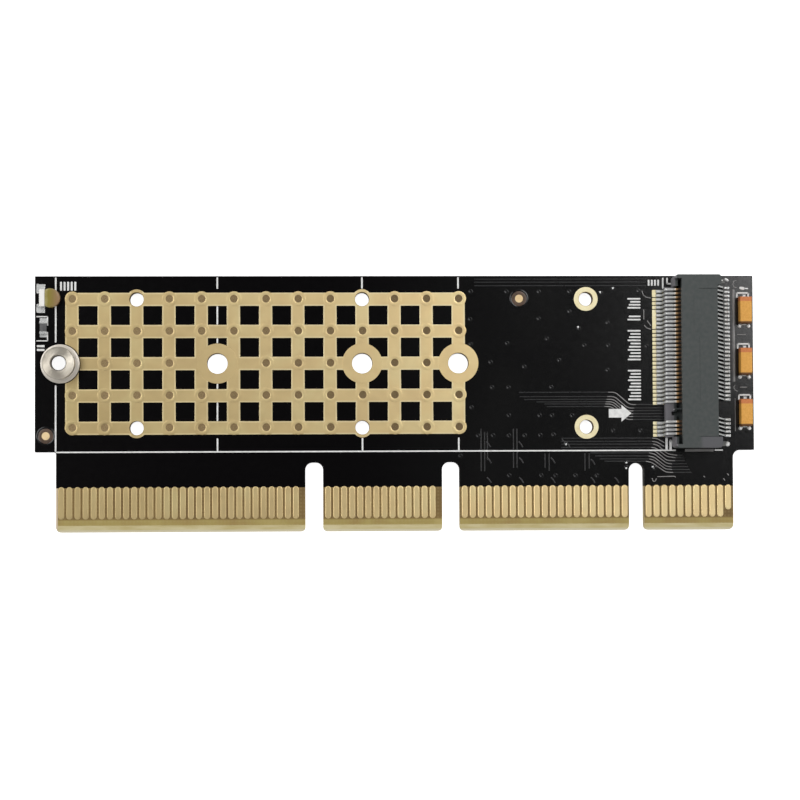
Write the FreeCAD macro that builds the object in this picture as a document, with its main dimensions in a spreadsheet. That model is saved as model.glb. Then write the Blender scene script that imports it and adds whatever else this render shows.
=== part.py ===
"""M.2 drive adapter card for a sixteen-lane card edge, lying on its back.

X runs along the card, Y from the card edge to the far edge, Z out of the component side.
The origin is the middle of the card's footprint, on the plane that the back lies on.
Every length is in millimetres and comes from the sheet of sizes.
"""

import FreeCAD
import Part
import math
import os
import re

import Sketcher

# ---------------------------------------------------------------- sizes

SIZES = [
    # board
    ("board_width", 89.6, "overall width of the board"),
    ("board_depth", 31.8, "far edge to the tip of the card edge"),
    ("board_thick", 1.55, "laminate with its solder mask"),
    ("copper_thick", 0.05, "plated copper, proud of the front and flush with the back"),
    ("right_shoulder", 2.68, "tongue to the board's right edge"),
    ("tongue_drop", 9.95, "length of the tongue below the shoulders"),
    ("tongue_margin", 0.65, "last finger's centre to the tongue's end"),
    ("tongue_corner", 0.6, "round on the tongue's two corners"),
    ("step_round_left", 0.3, "round inside the tongue's left shoulder"),
    ("step_round_right", 0.9, "round inside the tongue's right shoulder"),
    ("bevel_length", 0.85, "bevel at the tip, along the board"),
    ("bevel_depth", 0.4, "bevel at the tip, into each face"),
    # card-edge fingers
    ("finger_pitch", 1.0, "finger to finger"),
    ("finger_width", 0.74, "one finger"),
    ("finger_start", 1.4, "tip of the board to the fingers"),
    ("finger_tip", 0.2, "slant across each corner of a finger"),
    ("finger_end", 5.55, "tip of the board to the fingers' far ends"),
    ("sense_short", 0.9, "how much the first finger is shorter"),
    ("key_to_finger", 1.5, "key notch's centre to the fingers beside it"),
    ("group_gap", 4.0, "finger to finger across an open notch"),
    # notches
    ("key_width", 1.9, "key notch"),
    ("key_height", 8.35, "tip of the board to the key notch's end"),
    ("notch_width", 2.2, "each open notch"),
    ("notch_shift", 0.29, "open notch right of the middle of its gap between fingers"),
    ("notch_height", 8.55, "tip of the board to an open notch's end"),
    ("notch_corner", 0.9, "round at the notches' ends"),
    # drive line
    ("line_rise", 5.0, "drive's centre line above the board's middle"),
    ("seat_from_key", 7.8, "key notch to the seated drive's edge"),
    ("reach_thirty", 30.0, "seated edge to the shortest drive's screw"),
    ("reach_forty_two", 42.0, "seated edge to the second screw place"),
    ("reach_sixty", 60.0, "seated edge to the third screw place"),
    ("screw_ring", 5.0, "copper ring round a screw place"),
    ("screw_hole", 2.6, "plated hole at a screw place"),
    # thermal lattice
    ("lattice_pitch", 4.0, "bar to bar, from row to row"),
    ("lattice_edge", 4.57, "left edge to the first column of bars"),
    ("lattice_bar", 1.65, "width of a bar"),
    ("lattice_corner", 0.8, "round on the lattice's corners"),
    # heatsink holes
    ("sink_pitch_x", 28.0, "heatsink holes along the card"),
    ("sink_pitch_y", 16.0, "heatsink holes across the card"),
    ("sink_first", 14.0, "seated edge to the first heatsink holes"),
    ("sink_hole", 1.8, "heatsink hole"),
    ("sink_ring_small", 2.5, "ring round a hole in the lattice"),
    ("sink_ring_large", 3.0, "ring round a hole outside the lattice"),
    # alignment marks
    ("mark_dot", 1.0, "bare copper dot"),
    ("mark_right_x", 22.37, "seated edge to the right mark"),
    ("mark_right_y", 2.85, "right mark from the far edge"),
    ("mark_left_x", 1.35, "left mark from the left edge"),
    ("mark_left_y", 8.95, "left mark below the drive's centre line"),
    # standoff
    ("standoff_edge", 3.12, "left edge to the standoff's axis"),
    ("standoff_rise", 2.5, "standoff above the board"),
    ("standoff_flange", 5.05, "flange that is soldered down"),
    ("flange_thick", 0.35, "flange's thickness"),
    ("standoff_body", 4.5, "turned body"),
    ("standoff_chamfer", 0.3, "chamfer on the body's top"),
    ("standoff_bore", 1.75, "threaded bore, at the thread's crests"),
    ("bore_mouth", 2.4, "countersink at the bore's mouth"),
    ("shank_width", 3.4, "shank pressed into the board"),
    ("shank_short", 0.2, "shank's end above the board's back"),
    # socket
    ("pad_thick", 0.05, "solder land above the mask"),
    ("socket_end", 0.625, "housing's end walls, across the card"),
    ("socket_height", 4.2, "housing's roof above the board"),
    ("socket_lift", 0.1, "housing's floor above the board"),
    ("roof_front", 2.55, "seated edge to the roof's front"),
    ("socket_back", 1.9, "seated edge to the housing's back wall"),
    ("ear_back", 2.4, "seated edge to the back of the housing's ends"),
    ("cheek_front", 3.3, "seated edge to the cheeks' front"),
    ("cheek_height", 3.1, "cheeks in front of the roof"),
    ("cheek_chamfer", 0.4, "chamfer on the cheeks' front"),
    ("comb_front", 4.25, "seated edge to the comb's front"),
    ("comb_height", 1.15, "comb above the board"),
    ("comb_chamfer", 0.15, "chamfer on the comb's front"),
    ("comb_root", 0.3, "comb's root inside the block"),
    ("ramp_run", 0.3, "end of the ramp behind the roof's lip"),
    ("mouth_end", 0.85, "last contact's middle to the slot's end"),
    ("slot_floor", 2.4, "slot's lower wall above the board"),
    ("slot_height", 1.0, "slot between its walls"),
    ("slot_deep", 0.1, "slot beyond the seated edge"),
    ("mouth_rise", 0.45, "funnel in the roof's lip"),
    ("mouth_run", 1.0, "length of the funnel"),
    ("drive_key_width", 1.0, "key in the slot"),
    ("roof_chamfer", 0.3, "chamfer on the roof's long edges"),
    ("roof_step_length", 1.15, "lowered ends of the roof's back"),
    ("roof_step_run", 2.1, "lowered ends, front to back"),
    ("roof_step_depth", 0.35, "how far they are lowered"),
    # socket contacts
    ("contact_pitch", 0.5, "contact to contact"),
    ("contact_width", 0.24, "one contact"),
    ("contact_thick", 0.15, "contact strip"),
    ("land_width", 0.3, "solder land of a contact"),
    ("front_land_from", 5.66, "seated edge to the front lands' outer ends"),
    ("front_land_long", 1.4, "front land"),
    ("back_land_from", 2.85, "seated edge to the back lands' inner ends"),
    ("back_land_long", 1.25, "back land"),
    ("front_foot", 1.2, "front contact's foot before the comb"),
    ("nose_short", 0.9, "seated edge to a contact's nose"),
    ("nose_rise", 0.3, "nose above the slot's floor"),
    ("back_leg_high", 1.1, "back contact above the board at the wall"),
    ("back_leg_out", 0.35, "level stretch of a back contact"),
    ("back_leg_fall", 0.45, "slanting stretch, front to back"),
    ("back_foot_end", 2.0, "wall to the end of a back contact's foot"),
    ("holddown_thick", 0.2, "hold-down's sheet"),
    ("holddown_width", 0.6, "hold-down tab across the card"),
    ("holddown_high", 1.2, "hold-down tab above the board"),
    ("holddown_foot", 1.1, "hold-down's foot on the board"),
    ("holddown_inset", 0.25, "hold-down from the housing's end"),
    # capacitors
    ("cap_edge", 1.15, "capacitor's middle from the right edge"),
    ("cap_pitch", 6.4, "capacitor to capacitor"),
    ("cap_shift", 0.1, "middle capacitor above the centre line"),
    ("cap_width", 1.6, "moulded body"),
    ("cap_long", 3.42, "moulded body"),
    ("cap_rise", 0.12, "body's underside above the lands"),
    ("cap_lower", 0.7, "body below its parting line"),
    ("cap_upper", 0.85, "body above its parting line"),
    ("cap_draft", 5.0, "draft of the body's walls, in degrees"),
    ("term_width", 1.2, "folded terminal"),
    ("term_thick", 0.1, "terminal strip"),
    ("term_under", 0.8, "terminal under the body"),
    ("cap_land_out", 0.45, "land beyond the body's end"),
    ("cap_land_in", 0.9, "land under the body"),
    ("cap_land_width", 1.5, "land across the body"),
    # indicator
    ("led_edge", 0.63, "back of the base from the left edge"),
    ("led_top", 2.76, "indicator's middle from the far edge"),
    ("led_base_deep", 0.66, "base front to back"),
    ("led_base_long", 2.12, "base along the edge"),
    ("led_base_high", 1.15, "base above its lands"),
    ("led_lens_wide", 2.38, "lens along the edge"),
    ("led_lens_reach", 1.87, "lens in front of the base"),
    ("led_lens_high", 1.0, "lens above its underside"),
    ("led_gap", 0.08, "lens's underside above the board"),
    ("led_lens_chamfer", 0.15, "chamfer on the lens's top edge"),
    ("led_land_long", 0.95, "land along the edge"),
    ("led_land_deep", 1.0, "land into the board"),
    ("led_land_in", 0.25, "land under the base's end"),
    ("led_land_back", 0.4, "land behind the base's back"),
    ("led_term_thick", 0.12, "soldered terminal"),
    # resistor
    ("chip_edge", 1.06, "resistor's middle from the left edge"),
    ("chip_top", 6.4, "resistor's middle from the far edge"),
    ("chip_wide", 0.82, "resistor body"),
    ("chip_long", 1.6, "resistor body with its end caps"),
    ("chip_high", 0.45, "resistor body"),
    ("chip_cap", 0.3, "end cap"),
    ("chip_cap_thick", 0.03, "plating of an end cap"),
    ("chip_land_out", 0.4, "land beyond the end cap"),
    ("chip_land_wide", 0.9, "land"),
]

COUNTS = [
    ("count_key", 11, "fingers right of the key"),
    ("count_inner", 21, "fingers from the key to the first open notch"),
    ("count_middle", 14, "fingers between the open notches"),
    ("count_outer", 30, "fingers left of the open notches"),
    ("lattice_columns", 13, "bars across the card"),
    ("lattice_rows", 5, "bars along the card"),
    ("count_long", 29, "contacts above the key, in each row"),
    ("count_short_front", 4, "front contacts below the key"),
    ("count_short_back", 5, "back contacts below the key"),
    ("key_skip", 4, "contacts left out at the key"),
]

NAMES = {name for name, _value, _note in SIZES + COUNTS}

doc = FreeCAD.newDocument("drive_adapter_card")
sheet = doc.addObject("Spreadsheet::Sheet", "Sizes")
for row, (name, value, note) in enumerate(SIZES + COUNTS, start=1):
    sheet.set(f"A{row}", note)
    sheet.set(f"B{row}", str(value))
    sheet.setAlias(f"B{row}", name)
doc.recompute()

nodes = []

# ---------------------------------------------------------------- rules for places

LEFT = "(-board_width / 2)"
RIGHT = "(board_width / 2)"
TIP = "(-board_depth / 2)"
FAR = "(board_depth / 2)"
FRONT = "board_thick"

KEY_SPAN = "(key_to_finger + (count_key - 1) * finger_pitch)"
INNER_SPAN = "(key_to_finger + (count_inner - 1) * finger_pitch)"
MIDDLE_START = f"({INNER_SPAN} + group_gap)"
MIDDLE_SPAN = f"({MIDDLE_START} + (count_middle - 1) * finger_pitch)"
OUTER_START = f"({MIDDLE_SPAN} + group_gap)"
OUTER_SPAN = f"({OUTER_START} + (count_outer - 1) * finger_pitch)"
KEY = f"({RIGHT} - right_shoulder - tongue_margin - {KEY_SPAN})"
TONGUE_RIGHT = f"({KEY} + {KEY_SPAN} + tongue_margin)"
TONGUE_LEFT = f"({KEY} - {OUTER_SPAN} - tongue_margin)"
FIRST_NOTCH = f"({KEY} - {INNER_SPAN} - group_gap / 2 + notch_shift)"
SECOND_NOTCH = f"({KEY} - {MIDDLE_SPAN} - group_gap / 2 + notch_shift)"

SEAT = f"({KEY} + seat_from_key)"
LINE = "line_rise"
STANDOFF = f"({LEFT} + standoff_edge)"
LATTICE_RIGHT = f"({SEAT} - reach_thirty)"
LATTICE_LEFT = f"({LEFT} + lattice_edge)"
COLUMN_PITCH = f"(({LATTICE_RIGHT} - {LATTICE_LEFT}) / (lattice_columns - 1))"
LATTICE_LOW = f"({LINE} - (lattice_rows - 1) * lattice_pitch / 2)"
SINK_ROWS = [f"({LINE} - sink_pitch_y / 2)", f"({LINE} + sink_pitch_y / 2)"]
SINK_COLUMNS = [f"({SEAT} - sink_first - {step} * sink_pitch_x)" for step in range(3)]
SINKS = [(x, y) for x in SINK_COLUMNS for y in SINK_ROWS]
SCREWS = [
    ("thirty", f"({SEAT} - reach_thirty)"),
    ("forty_two", f"({SEAT} - reach_forty_two)"),
    ("sixty", f"({SEAT} - reach_sixty)"),
]
MARKS = [
    (f"({SEAT} - mark_right_x)", f"({FAR} - mark_right_y)"),
    (f"({LEFT} + mark_left_x)", f"({LINE} - mark_left_y)"),
]
CAP_X = f"({RIGHT} - cap_edge)"


# ---------------------------------------------------------------- helpers


def tie(rule):
    """The rule with each size's name pointed at its cell."""
    return re.sub(r"[a-z][a-z_]*", lambda word: _cell(word.group(0)), rule)


def _cell(word):
    return f"Sizes.{word}" if word in NAMES else word


def bind(item, target, rule):
    item.setExpression(target, tie(rule))


def size(name):
    """A size's number, for guesses that a constraint then makes exact."""
    return float(getattr(sheet, name))


def place(item, x="0", y="0", z="0"):
    bind(item, "Placement.Base.x", x)
    bind(item, "Placement.Base.y", y)
    bind(item, "Placement.Base.z", z)
    return item


def node(item, label):
    """Mark a finished piece: its label names its file."""
    item.Label = label
    nodes.append(item)
    return item


def box(name, length, width, height, x, y, z):
    """A box from its low corner."""
    item = doc.addObject("Part::Box", name)
    bind(item, "Length", length)
    bind(item, "Width", width)
    bind(item, "Height", height)
    return place(item, x, y, z)


def disc(name, diameter, height, x, y, z):
    item = doc.addObject("Part::Cylinder", name)
    bind(item, "Radius", f"({diameter}) / 2")
    bind(item, "Height", height)
    return place(item, x, y, z)


def join(name, shapes):
    item = doc.addObject("Part::MultiFuse", name)
    item.Shapes = shapes
    item.Refine = True
    return item


def group(name, shapes):
    item = doc.addObject("Part::Compound", name)
    item.Links = shapes
    return item


def cut(name, base, tool):
    item = doc.addObject("Part::Cut", name)
    item.Base = base
    item.Tool = tool
    return item


def new_body(name):
    body = doc.addObject("PartDesign::Body", name)
    body.AllowCompound = True
    return body


def origin(body, role):
    return next(item for item in body.Origin.OriginFeatures if item.Role == role)


def sketch(body, name, role, x="0", y="0", z="0"):
    """A sketch on one of the body's planes, its origin moved to x, y, z in the plane's own axes."""
    item = body.newObject("Sketcher::SketchObject", name)
    item.AttachmentSupport = [(origin(body, role), "")]
    item.MapMode = "FlatFace"
    bind(item, "AttachmentOffset.Base.x", x)
    bind(item, "AttachmentOffset.Base.y", y)
    bind(item, "AttachmentOffset.Base.z", z)
    return item


def distance(item, kind, start, end, rule):
    number = item.addConstraint(Sketcher.Constraint(kind, *start, *end, 1.0))
    bind(item, f"Constraints[{number}]", rule)


def pin(item, edge, end, x, y):
    """Hold one end of an edge at x, y from the sketch's origin."""
    for kind, axis, rule in (("DistanceX", -2, x), ("DistanceY", -1, y)):
        if rule == "0":
            item.addConstraint(Sketcher.Constraint("PointOnObject", edge, end, axis))
        else:
            distance(item, kind, (-1, 1), (edge, end), rule)


def polygon(item, corners):
    """A closed outline of straight edges through the corners, each an x rule and a y rule."""
    total = len(corners)
    turn = 2 * math.pi / total
    reach = size("board_depth")
    guess = [
        FreeCAD.Vector(reach * (2 + math.cos(turn * step)), reach * (2 + math.sin(turn * step)), 0)
        for step in range(total)
    ]
    first = item.GeometryCount
    for step in range(total):
        item.addGeometry(Part.LineSegment(guess[step], guess[(step + 1) % total]), False)
    for step in range(total):
        after = first + (step + 1) % total
        item.addConstraint(Sketcher.Constraint("Coincident", first + step, 2, after, 1))
    for step, (x, y) in enumerate(corners):
        pin(item, first + step, 1, x, y)
    return item


def rectangle(item, length, width):
    """A rectangle with its low corner at the sketch's origin."""
    return polygon(item, [("0", "0"), (length, "0"), (length, width), ("0", width)])


def circle(item, diameter, x="0", y="0"):
    middle = FreeCAD.Vector(1, 1, 0)
    edge = item.addGeometry(Part.Circle(middle, FreeCAD.Vector(0, 0, 1), 1.0), False)
    number = item.addConstraint(Sketcher.Constraint("Diameter", edge, 2.0))
    bind(item, f"Constraints[{number}]", diameter)
    pin(item, edge, 3, x, y)
    return item


def pad(body, name, profile, length, both=False, back=False):
    item = body.newObject("PartDesign::Pad", name)
    item.Profile = profile
    bind(item, "Length", length)
    item.Midplane = both
    item.Reversed = back
    body.Tip = item
    return item


def pocket(body, name, profile, length, both=False, back=False):
    """A cut from the profile: against its normal, or along it where back is true."""
    item = body.newObject("PartDesign::Pocket", name)
    item.Profile = profile
    bind(item, "Length", length)
    item.Midplane = both
    item.Reversed = back
    body.Tip = item
    return item


def repeat(body, name, feature, *ways):
    """Copies of a feature along one axis or two, each an axis, a pitch, a count and a turn back."""
    rows = []
    for number, (axis, pitch, count, back) in enumerate(ways, start=1):
        item = body.newObject("PartDesign::LinearPattern", f"{name}_{number}")
        item.Direction = (origin(body, axis), [""])
        item.Mode = "Spacing"
        item.Reversed = back
        bind(item, "Offset", pitch)
        bind(item, "Occurrences", count)
        rows.append(item)
    if len(rows) == 1:
        rows[0].Originals = [feature]
        body.Tip = rows[0]
        return rows[0]
    both = body.newObject("PartDesign::MultiTransform", name)
    both.Originals = [feature]
    both.Transformations = rows
    body.Tip = both
    return both


def upright_edges(shape, level, slack=0.01):
    """Names of the edges along Z that stand at the given height in Y, from low X to high X."""
    found = []
    for number, edge in enumerate(shape.Edges, start=1):
        around = edge.BoundBox
        upright = max(around.XLength, around.YLength) < slack
        if upright and abs(around.YMin - level) < slack:
            found.append((around.XMin, f"Edge{number}"))
    return [name for _x, name in sorted(found)]


def fillet(body, name, base, edges, radius):
    item = body.newObject("PartDesign::Fillet", name)
    item.Base = (base, edges)
    bind(item, "Radius", radius)
    body.Tip = item
    return item


def chamfer(body, name, base, edges, width):
    item = body.newObject("PartDesign::Chamfer", name)
    item.Base = (base, edges)
    bind(item, "Size", width)
    body.Tip = item
    return item


# ---------------------------------------------------------------- board


def board_outline(body):
    """The board with its tongue, and rounds inside the shoulders and on the tongue's corners."""
    left = f"{TONGUE_LEFT} - {LEFT}"
    right = f"{TONGUE_RIGHT} - {LEFT}"
    corners = [
        ("0", "tongue_drop"),
        (left, "tongue_drop"),
        (left, "0"),
        (right, "0"),
        (right, "tongue_drop"),
        ("board_width", "tongue_drop"),
        ("board_width", "board_depth"),
        ("0", "board_depth"),
    ]
    outline = polygon(sketch(body, "outline", "XY_Plane", LEFT, TIP), corners)
    blank = pad(body, "blank", outline, "board_thick")
    doc.recompute()
    far = size("board_depth") / 2
    steps = upright_edges(blank.Shape, size("tongue_drop") - far)
    inner = fillet(body, "left_step", blank, steps[1:2], "step_round_left")
    doc.recompute()
    steps = upright_edges(inner.Shape, size("tongue_drop") - far)
    inner = fillet(body, "right_step", inner, steps[-2:-1], "step_round_right")
    doc.recompute()
    tips = upright_edges(inner.Shape, -far)
    return fillet(body, "tongue", inner, tips, "tongue_corner")


def cut_notches(body):
    """The key notch and the two open notches, with rounded ends."""
    notches = [
        ("key", KEY, "key_width", "key_height"),
        ("first", FIRST_NOTCH, "notch_width", "notch_height"),
        ("second", SECOND_NOTCH, "notch_width", "notch_height"),
    ]
    for word, middle, width, height in notches:
        side = f"{middle} - {width} / 2"
        profile = sketch(body, f"{word}_outline", "XY_Plane", side, TIP)
        pocket(body, f"{word}_notch", rectangle(profile, width, height), "board_thick", back=True)
    for word, width, height in (
        ("open", "notch_width", "notch_height"),
        ("key", "key_width", "key_height"),
    ):
        doc.recompute()
        ends = upright_edges(body.Tip.Shape, size(height) - size("board_depth") / 2)
        fillet(body, f"{word}_ends", body.Tip, ends, f"min(notch_corner; 0.48 * {width})")


def circles(body, name, places, diameter, z):
    """A sketch of equal circles at the given places on the board."""
    profile = sketch(body, name, "XY_Plane", LEFT, TIP, z)
    for x, y in places:
        circle(profile, diameter, f"{x} - {LEFT}", f"{y} - {TIP}")
    return profile


def drill(body, name, places, diameter, thickness, z):
    profile = circles(body, f"{name}_circles", places, diameter, z)
    return pocket(body, name, profile, thickness, back=True)


def bevel(body, name, base_z, away):
    """Cut one face back along the tip; away is 1 on the front and -1 on the back."""
    edge = sketch(body, f"{name}_profile", "YZ_Plane", TIP, base_z, "0")
    polygon(edge, [("0", "0"), ("bevel_length", "0"), ("0", f"{-away} * bevel_depth")])
    return pocket(body, name, edge, "2 * board_width", both=True)


def make_board():
    body = new_body("board")
    board_outline(body)
    cut_notches(body)
    bevel(body, "front_bevel", FRONT, 1)
    bevel(body, "back_bevel", "copper_thick", -1)
    bare = sketch(body, "bare_back_outline", "XY_Plane", TONGUE_LEFT, TIP)
    rectangle(bare, f"{TONGUE_RIGHT} - {TONGUE_LEFT}", "finger_end")
    pocket(body, "bare_back", bare, "copper_thick", back=True)
    screws = [(x, LINE) for _word, x in SCREWS]
    drill(body, "ring_seats", screws, "screw_ring", "copper_thick", "0")
    drill(body, "screw_drills", screws, "screw_hole", "board_thick", "0")
    drill(body, "sink_drills", SINKS, "sink_hole", "board_thick", "0")
    drill(body, "standoff_drill", [(STANDOFF, LINE)], "shank_width", "board_thick", "0")
    node(body, "circuit_board")


# ---------------------------------------------------------------- copper


def make_lattice():
    """A rounded sheet with a grid of windows, rings for heatsink screws and room for the larger rings."""
    body = new_body("lattice")
    corner_x = f"{LATTICE_LEFT} - lattice_bar / 2"
    corner_y = f"{LATTICE_LOW} - lattice_bar / 2"
    profile = sketch(body, "lattice_outline", "XY_Plane", corner_x, corner_y, FRONT)
    across = f"(lattice_columns - 1) * {COLUMN_PITCH} + lattice_bar"
    along = "(lattice_rows - 1) * lattice_pitch + lattice_bar"
    blank = pad(body, "lattice_sheet", rectangle(profile, across, along), "copper_thick")
    doc.recompute()
    around = blank.Shape.BoundBox
    corners = upright_edges(blank.Shape, around.YMin) + upright_edges(blank.Shape, around.YMax)
    fillet(body, "lattice_corners", blank, corners, "min(lattice_corner; 0.48 * lattice_bar)")
    inside = (f"{LATTICE_LEFT} + lattice_bar / 2", f"{LATTICE_LOW} + lattice_bar / 2", FRONT)
    profile = sketch(body, "window_outline", "XY_Plane", *inside)
    rectangle(profile, f"{COLUMN_PITCH} - lattice_bar", "lattice_pitch - lattice_bar")
    window = pocket(body, "window", profile, "copper_thick", back=True)
    columns = ("X_Axis", COLUMN_PITCH, "lattice_columns - 1", False)
    rows = ("Y_Axis", "lattice_pitch", "lattice_rows - 1", False)
    repeat(body, "windows", window, columns, rows)
    sinks = SINKS[len(SINK_ROWS):]
    rings = circles(body, "sink_rings_outline", sinks, "sink_ring_small", FRONT)
    pad(body, "sink_rings", rings, "copper_thick")
    drill(body, "sink_holes", sinks, "sink_hole", "copper_thick", FRONT)
    screws = [(x, LINE) for _word, x in SCREWS]
    drill(body, "screw_ring_seats", screws, "screw_ring", "copper_thick", FRONT)
    drill(body, "flange_seat", [(STANDOFF, LINE)], "standoff_flange", "copper_thick", FRONT)
    node(body, "thermal_lattice")


def finger_outline(item, length):
    """A finger with slanted corners, upright from the sketch's origin."""
    wide = "finger_width"
    slant = "finger_tip"
    return polygon(item, [
        (slant, "0"),
        (f"{wide} - {slant}", "0"),
        (wide, slant),
        (wide, f"{length} - {slant}"),
        (f"{wide} - {slant}", length),
        (slant, length),
        ("0", f"{length} - {slant}"),
        ("0", slant),
    ])


FINGER_LONG = "(finger_end - finger_start)"
FINGER_GROUPS = [
    ("key", f"({KEY} + key_to_finger)", "count_key - 1", False),
    ("inner", f"({KEY} - key_to_finger)", "count_inner", True),
    ("middle", f"({KEY} - {MIDDLE_START})", "count_middle", True),
    ("outer", f"({KEY} - {OUTER_START})", "count_outer", True),
]


def make_fingers():
    for face, z in (("front", FRONT), ("back", "0")):
        for word, first_x, count, back in FINGER_GROUPS:
            body = new_body(f"{face}_{word}")
            finger = add_finger(body, f"{face}_{word}_finger", first_x, "0", z)
            repeat(body, f"{face}_{word}_row", finger, ("X_Axis", "finger_pitch", count, back))
            if word == "key":
                short = "sense_short" if face == "front" else "0"
                add_finger(body, f"{face}_sense_finger", f"({KEY} + {KEY_SPAN})", short, z)
            node(body, f"{face}_fingers_{word}")


def add_finger(body, name, middle_x, short, z):
    """One finger; a sense finger stops short of the others, so that it meets its contact last."""
    corner = (f"{middle_x} - finger_width / 2", f"{TIP} + finger_start + {short}", z)
    profile = sketch(body, f"{name}_outline", "XY_Plane", *corner)
    long = f"({FINGER_LONG} - {short})"
    if z == FRONT:
        finger_outline(profile, long)
    else:
        rectangle(profile, "finger_width", long)
    return pad(body, name, profile, "copper_thick")


def make_screw_places():
    """A ring on each face, round one hole."""
    for word, x in SCREWS:
        rings = []
        for face, z in (("front", FRONT), ("back", "0")):
            ring = disc(f"{word}_{face}", "screw_ring", "copper_thick", x, LINE, z)
            bore = disc(f"{word}_{face}_bore", "screw_hole", "copper_thick", x, LINE, z)
            rings.append(cut(f"{word}_{face}_ring", ring, bore))
        node(group(f"{word}_place", rings), f"screw_place_{word}")


def make_sink_rings():
    """Rings round the two heatsink holes outside the lattice."""
    body = new_body("sink_ring_pair")
    free = SINKS[:len(SINK_ROWS)]
    rings = circles(body, "free_ring_outline", free, "sink_ring_large", FRONT)
    pad(body, "free_rings", rings, "copper_thick")
    drill(body, "free_ring_holes", free, "sink_hole", "copper_thick", FRONT)
    node(body, "heatsink_rings")


def make_marks():
    dots = [disc("mark", "mark_dot", "copper_thick", x, y, FRONT) for x, y in MARKS]
    node(group("marks", dots), "alignment_marks")


# ---------------------------------------------------------------- standoff


def make_standoff():
    """A turned nut: shank in the board, flange on it, body and countersunk bore."""
    body = new_body("standoff")
    half = sketch(body, "standoff_section", "XZ_Plane", STANDOFF, "0", f"-{LINE}")
    foot = "shank_short"
    flange = f"{FRONT} + flange_thick"
    top = f"{FRONT} + standoff_rise"
    corners = [
        ("standoff_bore / 2", foot),
        ("shank_width / 2", foot),
        ("shank_width / 2", FRONT),
        ("standoff_flange / 2", FRONT),
        ("standoff_flange / 2", flange),
        ("standoff_body / 2", flange),
        ("standoff_body / 2", f"{top} - standoff_chamfer"),
        ("standoff_body / 2 - standoff_chamfer", top),
        ("bore_mouth / 2", top),
        ("standoff_bore / 2", f"{top} - (bore_mouth - standoff_bore) / 2"),
    ]
    polygon(half, corners)
    turned = body.newObject("PartDesign::Revolution", "standoff_turned")
    turned.Profile = half
    turned.ReferenceAxis = (half, ["V_Axis"])
    turned.Angle = 360
    body.Tip = turned
    node(body, "drive_standoff")


# ---------------------------------------------------------------- socket

CONTACT_SPAN = "((count_long + key_skip + count_short_back - 1) * contact_pitch)"
FIRST_BACK = f"({CONTACT_SPAN} / 2)"
FIRST_FRONT = f"({FIRST_BACK} - contact_pitch / 2)"
MOUTH = f"({CONTACT_SPAN} + 2 * mouth_end)"
SOCKET = f"({MOUTH} + 2 * socket_end)"
COMB = f"({SEAT} - comb_front)"
BACK_WALL = "(comb_front + socket_back)"
EAR_WALL = "(comb_front + ear_back)"
ROOF = "(comb_front - roof_front)"
CHEEK = "(comb_front - cheek_front)"
CEILING = "(slot_floor + slot_height)"
RAMP_END = f"({ROOF} + ramp_run)"
SLOT_END = "(comb_front + slot_deep)"
ROWS_START = f"({LINE} + ({FIRST_FRONT} + {FIRST_BACK}) / 2)"
DRIVE_KEY = f"({ROWS_START} - (count_long - 1 + (key_skip + 1) / 2) * contact_pitch)"
EAR_MIDDLE = f"({SOCKET} / 2 - roof_step_length / 2)"


def section(body, name, x, middle_y, corners):
    """An outline in the XZ plane, from x and the board's front, across the card at middle_y."""
    return polygon(sketch(body, name, "XZ_Plane", x, FRONT, f"-{middle_y}"), corners)


def make_housing():
    body = new_body("housing")
    block = [
        (CHEEK, "socket_lift"),
        (EAR_WALL, "socket_lift"),
        (EAR_WALL, "socket_height - roof_chamfer"),
        (f"{EAR_WALL} - roof_chamfer", "socket_height"),
        (ROOF, "socket_height"),
        (ROOF, "cheek_height"),
        (f"{CHEEK} + cheek_chamfer", "cheek_height"),
        (CHEEK, "cheek_height - cheek_chamfer"),
    ]
    pad(body, "block", section(body, "block_section", COMB, LINE, block), SOCKET, both=True)
    back_cut = [
        (BACK_WALL, "0"),
        (f"{EAR_WALL} + roof_chamfer", "0"),
        (f"{EAR_WALL} + roof_chamfer", "socket_height + roof_chamfer"),
        (BACK_WALL, "socket_height + roof_chamfer"),
    ]
    between_ears = f"{SOCKET} - 2 * roof_step_length"
    profile = section(body, "back_section", COMB, LINE, back_cut)
    pocket(body, "back_cut", profile, between_ears, both=True)
    slot = [
        (CHEEK, "comb_height"),
        (RAMP_END, "slot_floor"),
        (SLOT_END, "slot_floor"),
        (SLOT_END, CEILING),
        (f"{ROOF} + mouth_run", CEILING),
        (ROOF, f"{CEILING} + mouth_rise"),
        (CHEEK, f"{CEILING} + mouth_rise"),
    ]
    pocket(body, "slot", section(body, "slot_section", COMB, LINE, slot), MOUTH, both=True)
    for word, side in (("low", "-"), ("high", "+")):
        ear = f"({LINE} {side} {EAR_MIDDLE})"
        step = [
            (f"{EAR_WALL} - roof_step_run", "socket_height - roof_step_depth"),
            (f"{EAR_WALL} + roof_chamfer", "socket_height - roof_step_depth"),
            (f"{EAR_WALL} + roof_chamfer", "socket_height + roof_chamfer"),
            (f"{EAR_WALL} - roof_step_run", "socket_height + roof_chamfer"),
        ]
        profile = section(body, f"{word}_step_section", COMB, ear, step)
        pocket(body, f"{word}_step", profile, "roof_step_length", both=True)
    comb = [
        ("0", "socket_lift"),
        (f"{CHEEK} + comb_root", "socket_lift"),
        (f"{CHEEK} + comb_root", "comb_height"),
        ("comb_chamfer", "comb_height"),
        ("0", "comb_height - comb_chamfer"),
    ]
    pad(body, "comb", section(body, "comb_section", COMB, LINE, comb), MOUTH, both=True)
    key = [
        (CHEEK, "comb_height"),
        (SLOT_END, "slot_floor"),
        (SLOT_END, CEILING),
        (f"{ROOF} + mouth_run", CEILING),
        (ROOF, "slot_floor"),
    ]
    profile = section(body, "key_section", COMB, DRIVE_KEY, key)
    pad(body, "drive_key", profile, "drive_key_width", both=True)
    node(body, "socket_housing")


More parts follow.
